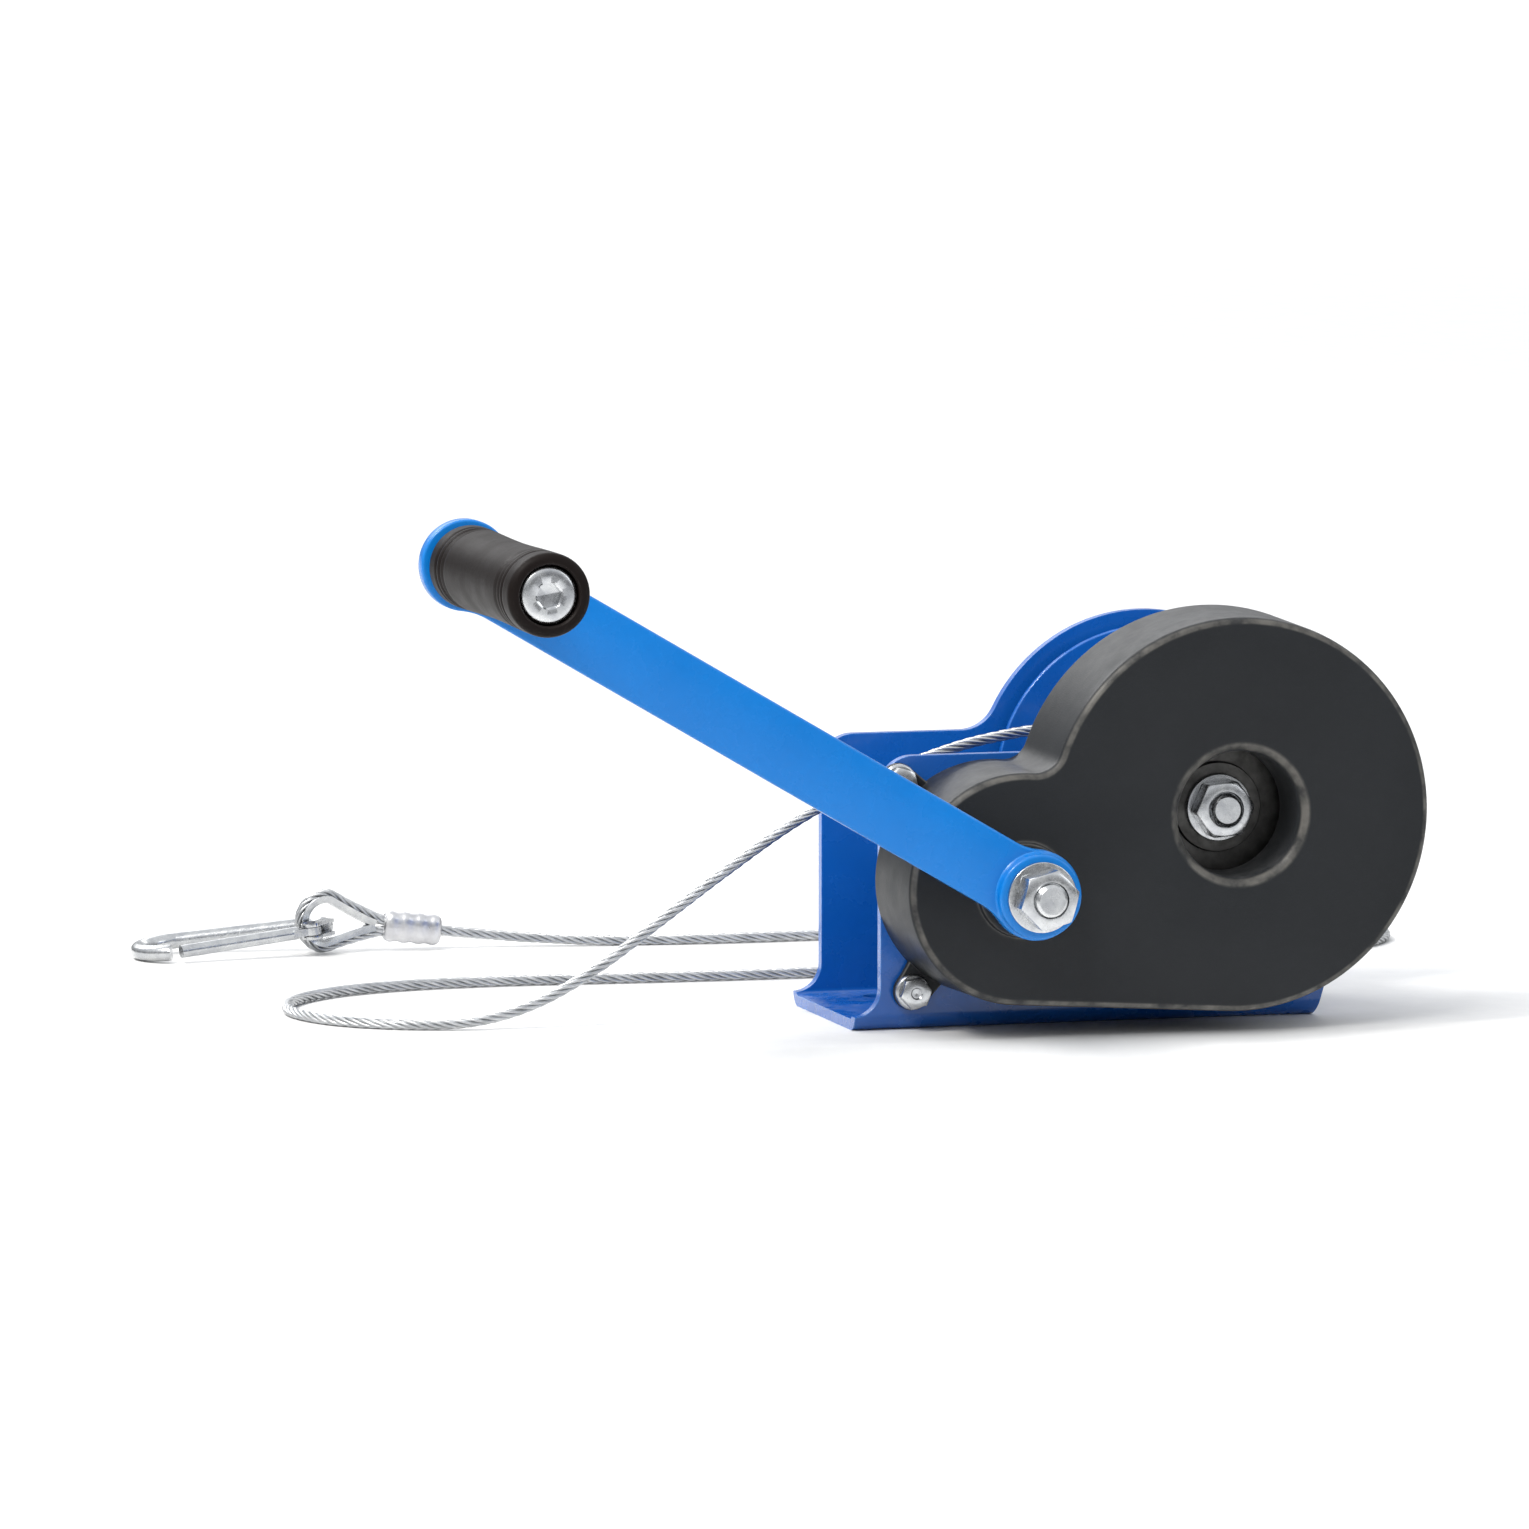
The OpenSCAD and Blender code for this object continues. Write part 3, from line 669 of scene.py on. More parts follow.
def powder_coat(name, colour, deep, light, coat=0.5, specular=0.4):
    """Gloss powder coat: orange peel, a little tone variation, dust on top, thin at edges."""
    f = Finish(name, coat=coat, coat_roughness=0.12, specular=specular)
    tone = f.mix(f.remap(f.noise(45 * MM, 3), 0.3, 0.7), deep, colour)
    thin = f.math("MULTIPLY", f.edge(0.9 * MM), f.remap(f.noise(3 * MM, 3), 0.42, 0.62, 0.25, 0.9))
    tone = f.mix(thin, tone, light)
    dust = f.math("MULTIPLY", f.facing_up(), f.remap(f.noise(7 * MM, 5, 0.7), 0.45, 0.75, 0.0, 0.22))
    tone = f.mix(dust, tone, (0.42, 0.43, 0.44))
    f.bump(f.noise(1.8 * MM, 2), 0.12 * MM, 0.35)
    f.bump(f.noise(0.45 * MM, 2), 0.03 * MM, 0.3)
    rough = f.remap(f.noise(11 * MM, 4), 0.3, 0.7, 0.2, 0.34)
    return f.set(tone, f.math("ADD", rough, f.math("MULTIPLY", dust, 1.2)))


def moulded_plastic(name, colour, dusty, grain, roughness, texture=1.0, specular=0.2, painted_highlight=None):
    """Injection-moulded plastic with a spark-eroded grain, scuffs, dust and maybe a painted highlight
    on the front edge's rounding.
    """
    f = Finish(name, specular=specular)
    flow = f.noise(60 * MM, 3, 0.5, warp=0.6)
    tone = f.mix(f.remap(flow, 0.25, 0.75, 0.0, 0.5), colour, tuple(c * 1.5 for c in colour))
    worn = f.math("MULTIPLY", f.edge(0.8 * MM), f.remap(f.noise(2.5 * MM, 3), 0.35, 0.65, 0.2, 0.75))
    tone = f.mix(worn, tone, dusty)
    # painted highlight: a lighter tone along the rounding between the front face and its walls,
    # standing in for the light that edge catches
    if painted_highlight:
        rim = f.math("MULTIPLY", f.front_rounding(), f.remap(f.noise(9 * MM, 4), 0.36, 0.62, 0.12, 1.0))
        tone = f.mix(rim, tone, painted_highlight)
    dust = f.math("MULTIPLY", f.facing_up(), f.remap(f.noise(5 * MM, 6, 0.7), 0.4, 0.75, 0.02, 0.3))
    tone = f.mix(dust, tone, dusty)
    f.bump(f.cells(grain), 0.06 * MM * texture, 0.55)
    f.bump(f.noise(grain * 2.4, 3), 0.05 * MM * texture, 0.4)
    scuff = f.remap(f.noise(2.2 * MM, 4, 0.6, stretch=(1, 1, 9), warp=1.2), 0.62, 0.78)
    rough = f.remap(f.noise(14 * MM, 4), 0.3, 0.7, roughness - 0.05, roughness + 0.06)
    return f.set(tone, f.math("ADD", rough, f.math("MULTIPLY", scuff, 0.12)))


def plated_steel(name, bright, dull, low, high, stain=(0.3, 0.27, 0.2), stains=0.25, dents=1.0):
    """Zinc plate or bare steel: cloudy tone, fine turning marks, faint stains and small dents."""
    f = Finish(name, metallic=1.0)
    cloud = f.remap(f.noise(6 * MM, 5, 0.62), 0.3, 0.7)
    tone = f.mix(cloud, bright, dull)
    spots = f.remap(f.noise(2.2 * MM, 6, 0.72), 0.6, 0.78, 0.0, stains)
    tone = f.mix(spots, tone, stain)
    f.bump(f.noise(0.5 * MM, 3), 0.02 * MM * dents, 0.5)
    f.bump(f.noise(3.5 * MM, 3), 0.1 * MM * dents, 0.35)
    rough = f.remap(f.noise(2.6 * MM, 5, 0.65, stretch=(1, 7, 1)), 0.28, 0.72, low, high)
    return f.set(tone, f.math("ADD", rough, f.math("MULTIPLY", spots, 0.5)))


def studio_ground(name, tone, fleck, step_painted_light):
    """Plain pale ground with a very faint mottle; under the top of the step it is paler, painted light
    that makes the less lit step face and lower ground as bright as the top.
    """
    f = Finish(name, specular=0.2)
    shade = f.mix(f.remap(f.noise(9 * MM, 5, 0.6), 0.3, 0.7), tone, fleck)
    # painted light: paler under the step's top edge, making up for the light that the step's face and
    # the lower ground lack
    shade = f.mix(f.remap(f.along(f.where, "Z"), -1 * MM, -12 * MM), shade, step_painted_light)
    f.bump(f.noise(2.5 * MM, 4), 0.05 * MM, 0.3)
    return f.set(shade, f.remap(f.noise(30 * MM, 3), 0.3, 0.7, 0.55, 0.7))


# ---------------------------------------------------------------- gear cover


COVER_LOW, COVER_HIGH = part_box("gear_cover")
COVER_R = DRUM_AT.z - COVER_LOW.z
LOBE_R = 42 * MM
CORNER_R = 9 * MM             # fillet in the concave corner above the lobe
PLATE_Y = COVER_HIGH.y
BOSS_Y = COVER_LOW.y
FRONT_Y = BOSS_Y + 2 * MM
COVER_WALL = 2.5 * MM
COVER_EDGE = 3 * MM
RECESS_R, RECESS_LIP, COLLAR_L = 22.5 * MM, 26 * MM, 24 * MM
BOSS_R, SLEEVE_HOLE_R = 16.8 * MM, 12.5 * MM
BACK_LIP = 7 * MM


def cover_outline():
    """The cover's outline, counterclockwise from where its underside leaves the big round."""
    drum, crank = Vector(DRUM_AT.xz), Vector(CRANK_AT.xz)
    between = crank - drum
    distance = between.length
    lean = math.atan2(between.y, between.x) % (2 * math.pi)
    down = lean + math.acos((COVER_R - LOBE_R) / distance)
    reach, lobe_reach = COVER_R + CORNER_R, LOBE_R + CORNER_R
    along = (reach ** 2 - lobe_reach ** 2 + distance ** 2) / (2 * distance)
    across = math.sqrt(reach ** 2 - along ** 2)
    unit = between / distance
    corner = drum + unit * along + Vector((unit.y, -unit.x)) * across

    def towards(a, b):
        return math.atan2(b.y - a.y, b.x - a.x) % (2 * math.pi)

    outline = arc(drum, COVER_R, down - 2 * math.pi, towards(drum, corner), 110)
    start, end = towards(corner, drum), towards(corner, crank)
    outline += arc(corner, CORNER_R, start, end - 2 * math.pi * (end > start), 12)
    outline += arc(crank, LOBE_R, towards(crank, corner), down, 60)
    first = crank + Vector((math.cos(down), math.sin(down))) * LOBE_R
    last = drum + Vector((math.cos(down), math.sin(down))) * COVER_R
    outline += [tuple(first.lerp(last, k / 8)) for k in range(8)]
    return outline


def circle_loop(at, radius):
    return arc((at.x, at.z), radius, 0, 2 * math.pi, ROUND_STEPS)


def flat_face(work, loops, y):
    """Fills the flat area between the first loop and the holes in it."""
    edges = []
    for loop in loops:
        verts = [work.verts.new((x, y, z)) for x, z in loop]
        edges += [work.edges.new((verts[i - 1], verts[i])) for i in range(len(verts))]
    bmesh.ops.triangle_fill(work, use_beauty=True, use_dissolve=False, edges=edges)


def skin(work, rings):
    """Adds the open skin over the rings to the mesh at work."""
    points, faces = loft(rings, caps=False)
    verts = [work.verts.new(p) for p in points]
    for face in faces:
        work.faces.new([verts[i] for i in face])


def cover_shell():
    """The moulding's skin inside and out, as one closed mesh."""
    outline = cover_outline()
    draft = 0.7 * MM
    work = bmesh.new()
    outside = [(0, PLATE_Y)] + [
        (draft * t, PLATE_Y + (FRONT_Y + COVER_EDGE - PLATE_Y) * t) for t in (0.25, 0.5, 0.75)]
    outside += quarter_round((draft, FRONT_Y + COVER_EDGE), (draft + COVER_EDGE, FRONT_Y), True, 8)
    skin(work, [inset_ring(outline, inset, y) for inset, y in outside])
    inside_edge = draft + COVER_EDGE + 1 * MM
    inner = [(0, PLATE_Y), (BACK_LIP, PLATE_Y), (BACK_LIP, PLATE_Y - COVER_WALL),
             (COVER_WALL, PLATE_Y - COVER_WALL), (COVER_WALL + draft, FRONT_Y + COVER_EDGE),
             (inside_edge, FRONT_Y + COVER_WALL)]
    skin(work, [inset_ring(outline, inset, y) for inset, y in inner])

    lip = quarter_round((RECESS_LIP + 1 * MM, FRONT_Y), (RECESS_R, FRONT_Y + 4 * MM), False, 8)
    collar = [*lip, (RECESS_R - 0.3 * MM, FRONT_Y + COLLAR_L),
              (RECESS_R + COVER_WALL, FRONT_Y + COLLAR_L),
              (RECESS_R + COVER_WALL, FRONT_Y + COVER_WALL)]
    skin(work, [outline_ring(circle_loop(DRUM_AT, radius), y) for radius, y in collar])
    boss = [(BOSS_R + 1.2 * MM, FRONT_Y), (BOSS_R + 0.3 * MM, FRONT_Y - 0.3 * MM),
            (BOSS_R, FRONT_Y - 1.1 * MM), (BOSS_R - 0.3 * MM, BOSS_Y + 0.25 * MM),
            (BOSS_R - 0.9 * MM, BOSS_Y), (SLEEVE_HOLE_R + 0.7 * MM, BOSS_Y),
            (SLEEVE_HOLE_R, BOSS_Y + 0.7 * MM), (SLEEVE_HOLE_R, FRONT_Y + COVER_WALL)]
    skin(work, [outline_ring(circle_loop(CRANK_AT, radius), y) for radius, y in boss])
    flat_face(work, [offset_outline(outline, outside[-1][0]),
                     circle_loop(DRUM_AT, collar[0][0]), circle_loop(CRANK_AT, boss[0][0])],
              FRONT_Y)
    flat_face(work, [offset_outline(outline, inside_edge),
                     circle_loop(DRUM_AT, collar[-1][0]), circle_loop(CRANK_AT, boss[-1][0])],
              FRONT_Y + COVER_WALL)
    bmesh.ops.remove_doubles(work, verts=work.verts, dist=0.002 * MM)
    bmesh.ops.recalc_face_normals(work, faces=work.faces)
    points = [v.co.copy() for v in work.verts]
    work.verts.index_update()
    faces = [tuple(v.index for v in face.verts) for face in work.faces]
    work.free()
    return points, faces


def screw_places():
    """Where the two screws hold the cover's tabs, from the screws' own box."""
    low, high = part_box("cover_screws")
    reach = 6.6 * MM
    return [Vector((high.x - reach, 0, low.z + reach)), Vector((low.x + reach, 0, high.z - reach))]


def cover_tab(at):
    """A lug on the cover's rim with a rounded end, about a screw."""
    radius, thick = 6.7 * MM, 3 * MM
    run = Vector((CRANK_AT.x - at.x, CRANK_AT.z - at.z))
    reach = run.length - LOBE_R + 3.5 * MM
    outline = arc((0, 0), radius, math.pi / 2, math.pi * 1.5, 24)
    outline += [(reach * t, -radius - 1.2 * MM * t * t) for t in (0, 0.3, 0.6, 0.8, 1)]
    outline += [(reach * t, radius + 1.2 * MM * t * t) for t in (1, 0.8, 0.6, 0.3, 0)]
    placed = placed_outline(outline, at, math.atan2(run.y, run.x))
    return plate(placed, PLATE_Y - thick, PLATE_Y - 0.02 * MM, 0.7 * MM)


def make_cover(material):
    mesh = solid_union("gear_cover_moulding", [cover_shell(), *map(cover_tab, screw_places())])
    return add_piece("gear_cover_moulding", mesh, "frame_body", material,
                     "gear_cover")


# ---------------------------------------------------------------- crank


ARM_LOW, ARM_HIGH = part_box("crank_arm")
ARM_HUB_FRONT, ARM_HUB_BACK = ARM_LOW.y, ARM_HIGH.y
ARM_FRONT, ARM_BACK = ARM_HUB_FRONT + 4 * MM, ARM_HUB_BACK - 2 * MM
ARM_W, ARM_END_R, ARM_HUB_R = 25 * MM, 16 * MM, 15 * MM
CRANK_RISE = math.atan2(GRIP_AT.z - CRANK_AT.z, CRANK_AT.x - GRIP_AT.x)
GRIP_LOW, GRIP_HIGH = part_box("grip")
GRIP_R = (GRIP_HIGH.z - GRIP_LOW.z) / 2
M12_R, M12_FLATS, WASHER_EDGE = 6 * MM, 19 * MM, 0.35 * MM


def arm_outline():
    """Both rounded ends and the bar between them, with fillets where the bar meets the ends."""
    half, fillet = ARM_W / 2, 24 * MM
    length = (Vector(GRIP_AT.xz) - Vector(CRANK_AT.xz)).length
    rise = half + fillet
    reach = math.sqrt((ARM_END_R + fillet) ** 2 - rise ** 2)
    open_angle = math.atan2(rise, reach)
    local = arc((0, 0), ARM_END_R, open_angle, 2 * math.pi - open_angle, 48)
    local += arc((reach, -rise), fillet, math.pi - open_angle, math.pi / 2, 8)
    local += [(reach + (length - 2 * reach) * k / 10, -half) for k in range(10)]
    local += arc((length - reach, -rise), fillet, math.pi / 2, open_angle, 8)
    local += arc((length, 0), ARM_END_R, open_angle - math.pi, math.pi - open_angle, 48)
    local += arc((length - reach, rise), fillet, -open_angle, -math.pi / 2, 8)
    local += [(length - reach - (length - 2 * reach) * k / 10, half) for k in range(10)]
    local += arc((reach, rise), fillet, -math.pi / 2, open_angle - math.pi, 8)
    return placed_outline(local, CRANK_AT, math.pi - CRANK_RISE)


def make_arm(material):
    hub = turned(CRANK_AT, [(0, ARM_HUB_FRONT), (ARM_HUB_R, ARM_HUB_FRONT, 1.2 * MM),
                            (ARM_HUB_R, ARM_FRONT - 0.6 * MM, 0.6 * MM),
                            (ARM_HUB_R + 0.9 * MM, ARM_FRONT + 0.2 * MM, 0.4 * MM),
                            (ARM_HUB_R + 0.9 * MM, ARM_BACK, 0.4 * MM),
                            (ARM_HUB_R, ARM_HUB_BACK, 0.5 * MM), (0, ARM_HUB_BACK)])
    mesh = solid_union("crank_bar", [plate(arm_outline(), ARM_FRONT, ARM_BACK, 0.9 * MM), hub])
    return add_piece("crank_bar", mesh, "crank_body", material, "crank_arm")


def make_crank_fasteners(steel):
    """The crank shaft with its threaded end, the washer and the nut."""
    washer_low, washer_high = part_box("crank_washer")
    washer_r = 12.5 * MM
    washer = turned(CRANK_AT, [(M12_R, washer_low.y), (washer_r, washer_low.y),
                               (washer_r, washer_high.y), (M12_R, washer_high.y)], WASHER_EDGE)
    add_solids("crank_washer_disc", [washer], "crank_body", steel, "crank_washer")
    nut_low, nut_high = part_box("crank_nut")
    nut = hex_nut(CRANK_AT, M12_FLATS, M12_R, nut_low.y, nut_high.y, turn=0.25)
    add_solids("crank_lock_nut", [nut], "crank_body", steel, "crank_nut")
    low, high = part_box("crank_shaft")
    shaft_r, core_r, tail_r = 8 * MM, M12_R - 0.1 * MM, 7.2 * MM
    shoulder, tail = ARM_HUB_BACK - MM, high.y - 2.5 * MM
    shaft = turned(CRANK_AT, [(0, ARM_HUB_FRONT + 2 * MM), (core_r, ARM_HUB_FRONT + 2 * MM),
                              (core_r, shoulder), (shaft_r, shoulder),
                              (shaft_r, tail, 0.1 * MM), (tail_r, tail, 0.1 * MM),
                              (tail_r, high.y, 0.7 * MM), (0, high.y)])
    thread = stud(CRANK_AT, M12_R, low.y, ARM_HUB_FRONT + 3 * MM)
    add_solids("crank_spindle", [shaft, thread], "crank_body", steel, "crank_shaft")


def make_grip(plastic, steel):
    """The turning grip with grooves at both ends, its bolt with a socket head, and its nut."""
    front, back = GRIP_LOW.y, GRIP_HIGH.y
    length = back - front
    bolt_low, bolt_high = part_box("grip_bolt")
    head_y, head_r = bolt_low.y, 10 * MM
    sink = 6.4 * MM
    end_r, waist_depth, groove_depth, groove_half = 2.6 * MM, 0.7 * MM, 0.75 * MM, 0.012
    grooves = (0.075, 0.115, 0.155, 0.845, 0.885, 0.925)
    side = []
    for k in range(81):
        t = k / 80
        waist = waist_depth * math.sin(math.pi * t) ** 2
        groove = max(0.0, *(1 - abs(t - at) / groove_half for at in grooves))
        side.append((GRIP_R - waist - groove_depth * groove ** 0.7,
                     front + end_r + (length - 2 * end_r) * t))
    nose = quarter_round((GRIP_R - end_r, front), (GRIP_R, front + end_r), False)[:-1]
    tail = quarter_round((GRIP_R, back - end_r), (GRIP_R - end_r, back), True)[1:]
    mouth, bore, bolt_r = head_r + 0.5 * MM, 5.05 * MM, 5 * MM
    profile = [(bore, back), (bore, front + sink), (mouth, front + sink),
               (mouth, front + 0.7 * MM), (mouth + 0.5 * MM, front)]
    profile += nose + side + tail
    add_solids("grip_sleeve", [lathe(GRIP_AT, profile)], "grip_body", plastic,
               "grip")
    head = socket_head(GRIP_AT, head_r, head_y, head_y + 5 * MM, 8 * MM, 3.6 * MM)
    shank = turned(GRIP_AT, [(0, head_y + 4.6 * MM), (bolt_r, head_y + 4.6 * MM),
                             (bolt_r, back - 0.5 * MM), (bolt_r, ARM_BACK - MM),
                             (0, ARM_BACK - MM)])
    collar = turned(GRIP_AT, [(4.6 * MM, back + 0.3 * MM), (9 * MM, back + 0.3 * MM),
                              (9 * MM, ARM_FRONT), (4.6 * MM, ARM_FRONT)])
    thread = stud(GRIP_AT, bolt_r, bolt_high.y, ARM_BACK - 2 * MM, 1.5 * MM)
    add_solids("grip_pin", [head, shank, collar, thread], "crank_body", steel,
               "grip_bolt")
    nut_low, nut_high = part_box("grip_nut")
    nut = hex_nut(GRIP_AT, 17 * MM, bolt_r, nut_low.y, nut_high.y, turn=0.4)
    add_solids("grip_lock_nut", [nut], "crank_body", steel, "grip_nut")


# ---------------------------------------------------------------- axle, screws and spring


def make_axle(steel):
    """The drum's axle with both threaded ends, washers and nuts."""
    nuts_low, nuts_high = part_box("axle_nuts")
    washers_low, washers_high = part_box("axle_washers")
    low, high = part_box("drum_shaft")
    nut_t, washer_t, washer_r, shaft_r = 8 * MM, 2 * MM, 12 * MM, 8 * MM
    nuts, washers = [], []
    for y, turn in ((nuts_low.y, 0.1), (nuts_high.y - nut_t, 0.37)):
        nuts.append(hex_nut(DRUM_AT, M12_FLATS, M12_R, y, y + nut_t, turn=turn))
    for y in (washers_low.y, washers_high.y - washer_t):
        washers.append(turned(DRUM_AT, [(M12_R, y), (washer_r, y), (washer_r, y + washer_t),
                                        (M12_R, y + washer_t)], WASHER_EDGE))
    add_solids("axle_lock_nuts", nuts, "drum_body", steel, "axle_nuts")
    add_solids("axle_washer_discs", washers, "drum_body", steel, "axle_washers")
    shoulder_low, shoulder_high = washers_low.y + washer_t, washers_high.y - washer_t
    shaft = turned(DRUM_AT, [(0, shoulder_low), (shaft_r, shoulder_low), (shaft_r, shoulder_high),
                             (0, shoulder_high)])
    ends = [stud(DRUM_AT, M12_R, low.y, shoulder_low + MM),
            stud(DRUM_AT, M12_R, high.y, shoulder_high - MM)]
    add_solids("drum_axle", [shaft, *ends], "drum_body", steel, "drum_shaft")


def make_cover_screws(steel):
    """Flanged hexagon screws through the cover's lugs, with their threaded shanks."""
    low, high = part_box("cover_screws")
    parts = []
    for at, turn in zip(screw_places(), (0.2, 0.75)):
        flange = turned(at, [(0, PLATE_Y - 4.4 * MM), (6.1 * MM, PLATE_Y - 4.4 * MM, 0.5 * MM),
                             (6.6 * MM, PLATE_Y - 3 * MM, 0.2 * MM), (0, PLATE_Y - 3 * MM)])
        head = hex_nut(at, 10 * MM, 1.6 * MM, low.y, PLATE_Y - 3.8 * MM, turn=turn)
        dish = turned(at, [(0, low.y + 0.5 * MM), (3 * MM, low.y + 0.45 * MM),
                           (3 * MM, PLATE_Y - 4 * MM), (0, PLATE_Y - 4 * MM)], 0.2 * MM)
        parts += [flange, head, dish, stud(at, 3 * MM, high.y, PLATE_Y - 2 * MM, 1 * MM)]
    add_solids("cover_flange_screws", parts, "frame_body", steel, "cover_screws")


def make_cable_clamp(steel):
    """The two screws of the pressed strap that holds the cable's inner end on the drum."""
    low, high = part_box("clamp_screws")
    head_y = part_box("cable_clamp")[1].y
    orbit, screw_r, head_r = 40 * MM, 2.5 * MM, 4.5 * MM
    corners = [(0, low.y), (screw_r, low.y), (screw_r, head_y), (head_r, head_y, 0.3 * MM),
               (head_r, high.y - 0.8 * MM, 0.6 * MM), (2.8 * MM, high.y, 0.8 * MM), (0, high.y)]
    parts = [turned(around(DRUM_AT, orbit, math.radians(angle), 0), corners, 0.2 * MM)
             for angle in (96, 124)]
    add_solids("clamp_screw_pair", parts, "drum_body", steel, "clamp_screws")


def make_pawl_spring(steel):
    """A wound torsion spring on the pawl's post, with both of its legs."""
    low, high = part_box("pawl_spring")
    wire_r = 0.5 * MM
    coil_r = 6.2 * MM - wire_r
    turns, steps = 4, 40
    y0, y1 = low.y + wire_r, high.y - wire_r
    line = [Vector((PAWL_AT.x - coil_r, y0, low.z + 8 * MM)),
            Vector((PAWL_AT.x - coil_r, y0, PAWL_AT.z - 4 * MM))]
    for i in range(turns * steps + 1):
        a = math.pi + 2 * math.pi * i / steps
        line.append(around(PAWL_AT, coil_r, a, y0 + (y1 - y0) * i / (turns * steps)))
    line += [Vector((PAWL_AT.x - coil_r, y1, PAWL_AT.z - 6 * MM)),
             Vector((PAWL_AT.x - coil_r, y1, low.z + wire_r))]
    add_solids("pawl_torsion_spring", [tube(line, wire_r)], "frame_body", steel,
               "pawl_spring")


# ---------------------------------------------------------------- CAD pieces that stay


def keep_node(name, material, bevel=0.0, segments=2):
    """A CAD node with a finish, and its sharp edges rounded where bevel is given."""
    piece = frame["nodes"][name]
    piece.data.materials.clear()
    piece.data.materials.append(material)
    if bevel:
        weld = piece.modifiers.new("weld", "WELD")
        weld.merge_threshold = 0.002 * MM
        change = piece.modifiers.new("rounded", "BEVEL")
        change.width, change.segments = bevel, segments
        change.limit_method, change.angle_limit = "ANGLE", math.radians(38)
        change.use_clamp_overlap = True
        piece.modifiers.new("even", "WEIGHTED_NORMAL").keep_sharp = True
    return piece


# ---------------------------------------------------------------- studio


STEP_Y = -0.080              # the raised ground ends in front of the cover, behind the crank
STEP_DROP = 0.42
GROUND_REACH = 14.0


def make_ground(material):
    """Pale ground that steps down in front of the winch, so that the crank can swing past it."""
    edge_r, cove_r, flat = 10 * MM, 0.12, 0.05
    profile = [(GROUND_REACH, 0.0), (3.0, 0.0), (0.6, 0.0), (STEP_Y + edge_r + flat, 0.0)]
    profile += quarter_round((STEP_Y + edge_r, 0.0), (STEP_Y, -edge_r), False, 8)
    profile += quarter_round((STEP_Y, cove_r - STEP_DROP), (STEP_Y - cove_r, -STEP_DROP), True, 12)
    profile += [(-1.5, -STEP_DROP), (-GROUND_REACH, -STEP_DROP)]
    across = (-GROUND_REACH, -3.0, -0.8, 0.8, 3.0, GROUND_REACH)
    wide = len(across)
    points = [(x, y, z) for y, z in profile for x in across]
    faces = [(a, a + 1, a + wide + 1, a + wide) for i in range(len(profile) - 1)
             for a in range(i * wide, (i + 1) * wide - 1)]
    mesh = bpy.data.meshes.new("studio_ground")
    mesh.from_pydata(points, [], faces)
    mesh.materials.append(material)
    mesh.polygons.foreach_set("use_smooth", [True] * len(faces))
    ground = linked("studio_ground", mesh)
    ground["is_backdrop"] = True


def add_light(name, place, aim, size, power, colour=(1, 1, 1)):
    data = bpy.data.lights.new(name, "AREA")
    data.shape, data.size, data.size_y = "RECTANGLE", size[0], size[1]
    data.energy, data.color = power, colour
    light = linked(name, data)
    light.location = place
    light.rotation_mode = "QUATERNION"
    light.rotation_quaternion = (Vector(place) - Vector(aim)).to_track_quat("Z", "Y")


def make_light():
    world = bpy.data.worlds.new("studio")
    world.use_nodes = True
    nodes, links = world.node_tree.nodes, world.node_tree.links
    background = nodes["Background"]
    background.inputs["Color"].default_value = (0.95, 0.97, 1.0, 1)
    where = nodes.new("ShaderNodeTexCoord")
    split = nodes.new("ShaderNodeSeparateXYZ")
    # bright overhead, and dim at the horizon so that metal has something darker to reflect
    fade = nodes.new("ShaderNodeMapRange")
    for key, value in (("From Min", 0.02), ("From Max", 0.55), ("To Min", 0.22), ("To Max", 1.05)):
        fade.inputs[key].default_value = value
    links.new(where.outputs["Generated"], split.inputs["Vector"])
    links.new(split.outputs["Z"], fade.inputs["Value"])
    links.new(fade.outputs["Result"], background.inputs["Strength"])
    bpy.context.scene.world = world
    bpy.context.scene.view_settings.view_transform = "Standard"
    middle = (-0.05, -0.03, 0.08)
    add_light("key", (-1.5, -1.7, 2.3), middle, (1.3, 1.3), 44, (1.0, 0.985, 0.96))
    add_light("edge", (-1.35, -0.5, 1.75), middle, (0.4, 0.4), 30, (1.0, 0.97, 0.92))
    add_light("fill", (2.2, -1.9, 1.2), middle, (1.6, 1.2), 10, (0.95, 0.98, 1.0))
    add_light("rim", (-1.2, 1.9, 1.9), middle, (1.4, 0.9), 26)
    add_light("backdrop", (1.5, 8.5, 4.0), (1.5, 8.8, 0.0), (12.0, 6.0), 480)


# ---------------------------------------------------------------- making


make_camera()

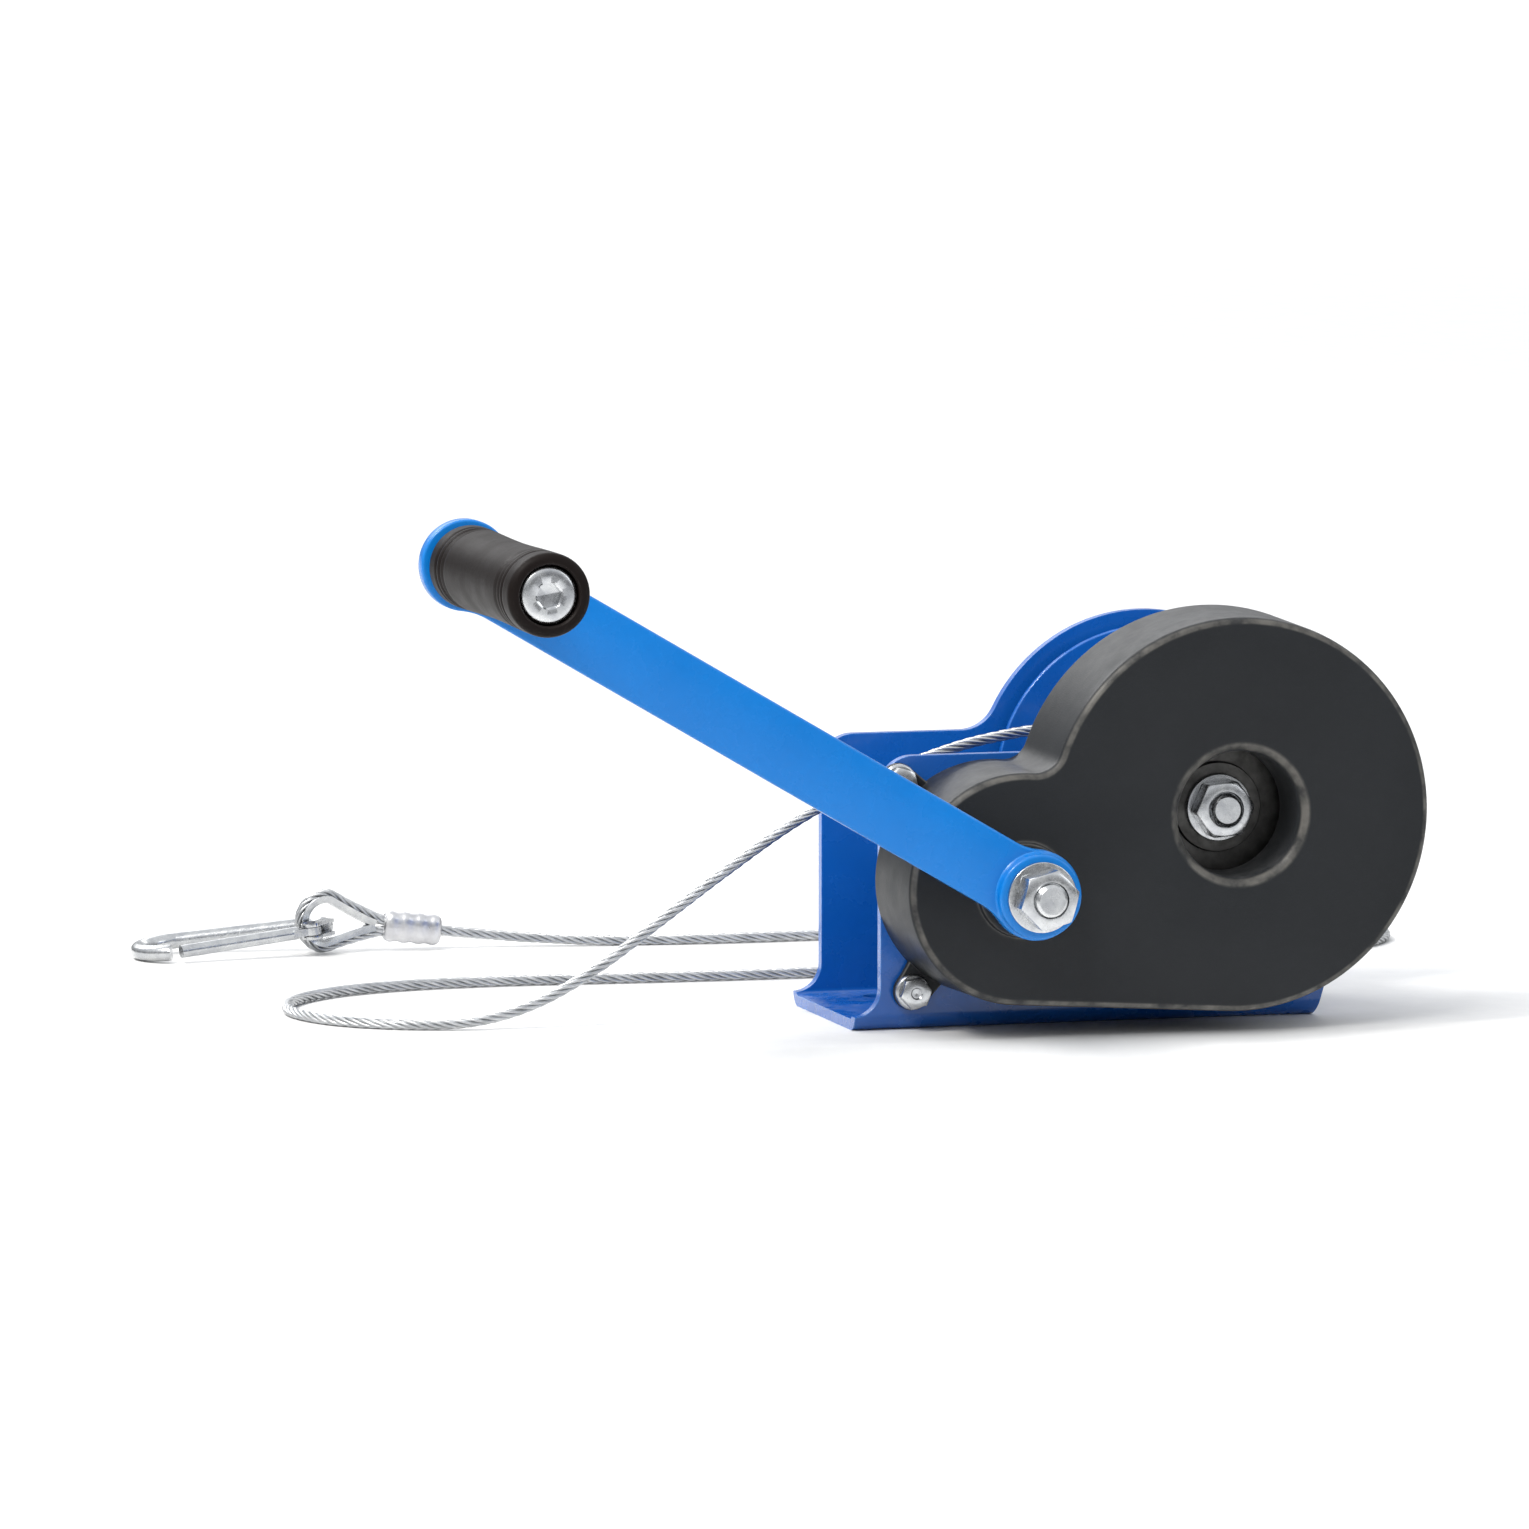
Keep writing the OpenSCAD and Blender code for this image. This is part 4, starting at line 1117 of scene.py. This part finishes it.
strand = plated_steel("galvanised_strand", (0.62, 0.63, 0.64), (0.4, 0.41, 0.42), 0.26, 0.46,
                      stains=0.2)
zinc = plated_steel("zinc_plating", (0.62, 0.63, 0.63), (0.42, 0.43, 0.45), 0.14, 0.34)
cable, cable_line = make_cable(strand)
loop = make_cable_eye(strand)
ferrule = make_ferrule(plated_steel("pressed_aluminium", (0.7, 0.7, 0.71), (0.55, 0.55, 0.57),
                                    0.26, 0.44, stains=0.12, dents=1.6))
thimble = make_thimble(zinc)
hook = [keep_node("hook_body", zinc, 0.25 * MM), keep_node("hook_gate", zinc, 0.3 * MM)]
spring_steel = plated_steel("spring_steel", (0.34, 0.34, 0.35), (0.22, 0.22, 0.23), 0.25, 0.42)
hook.append(keep_node("gate_pin", spring_steel, 0.25 * MM))

# painted shade: the frame and drum coat is the arm's paint made darker, standing in for the shadow the
# frame sits in
shaded_frame_blue = powder_coat("shaded_blue_powder_coat", (0.004, 0.1, 0.42), (0.003, 0.08, 0.35), (0.06, 0.24, 0.62))
azure = powder_coat("azure_powder_coat", (0.002, 0.155, 0.5), (0.002, 0.138, 0.455),
                    (0.07, 0.31, 0.7), 0.15, 0.25)
# the cover's last tone is a painted highlight along the rounding of its front edge
charcoal = moulded_plastic("charcoal_moulding", (0.0142, 0.0155, 0.0172), (0.12, 0.12, 0.12),
                           0.55 * MM, 0.36, specular=0.13, painted_highlight=(0.1, 0.096, 0.088))
black = moulded_plastic("black_grip_moulding", (0.0068, 0.005, 0.0046), (0.02, 0.016, 0.015),
                        0.8 * MM, 0.46, specular=0.07)
bush = moulded_plastic("bush_moulding", (0.02, 0.02, 0.022), (0.12, 0.12, 0.12), 0.5 * MM, 0.4, 0.5)
gear_steel = plated_steel("oiled_gear_steel", (0.1, 0.098, 0.094), (0.05, 0.049, 0.047), 0.3,
                          0.5, (0.03, 0.022, 0.015), 0.5, 1.4)

make_winding(strand)
keep_node("frame", shaded_frame_blue, 0.6 * MM, 3)
keep_node("drum", shaded_frame_blue, 0.5 * MM, 3)
for node in ("drum_bush_near", "drum_bush_far", "crank_bush_near", "crank_bush_far"):
    keep_node(node, bush, 0.3 * MM)
for node in ("drive_gear", "pinion_gear", "ratchet_wheel", "pawl"):
    keep_node(node, gear_steel, 0.25 * MM)
for node in ("spacer_sleeve", "pawl_post", "cable_clamp"):
    keep_node(node, zinc, 0.35 * MM)
keep_node("shaft_clip", spring_steel, 0.2 * MM)

make_cover(charcoal)
make_cover_screws(zinc)
make_arm(azure)
make_crank_fasteners(zinc)
make_grip(black, zinc)
make_axle(zinc)
make_cable_clamp(zinc)
make_pawl_spring(spring_steel)

# the last tone is painted light for the step's face and the lower ground
make_ground(studio_ground("pale_ground", (0.72, 0.72, 0.716), (0.69, 0.69, 0.69),
                          (0.93, 0.93, 0.93)))
make_light()
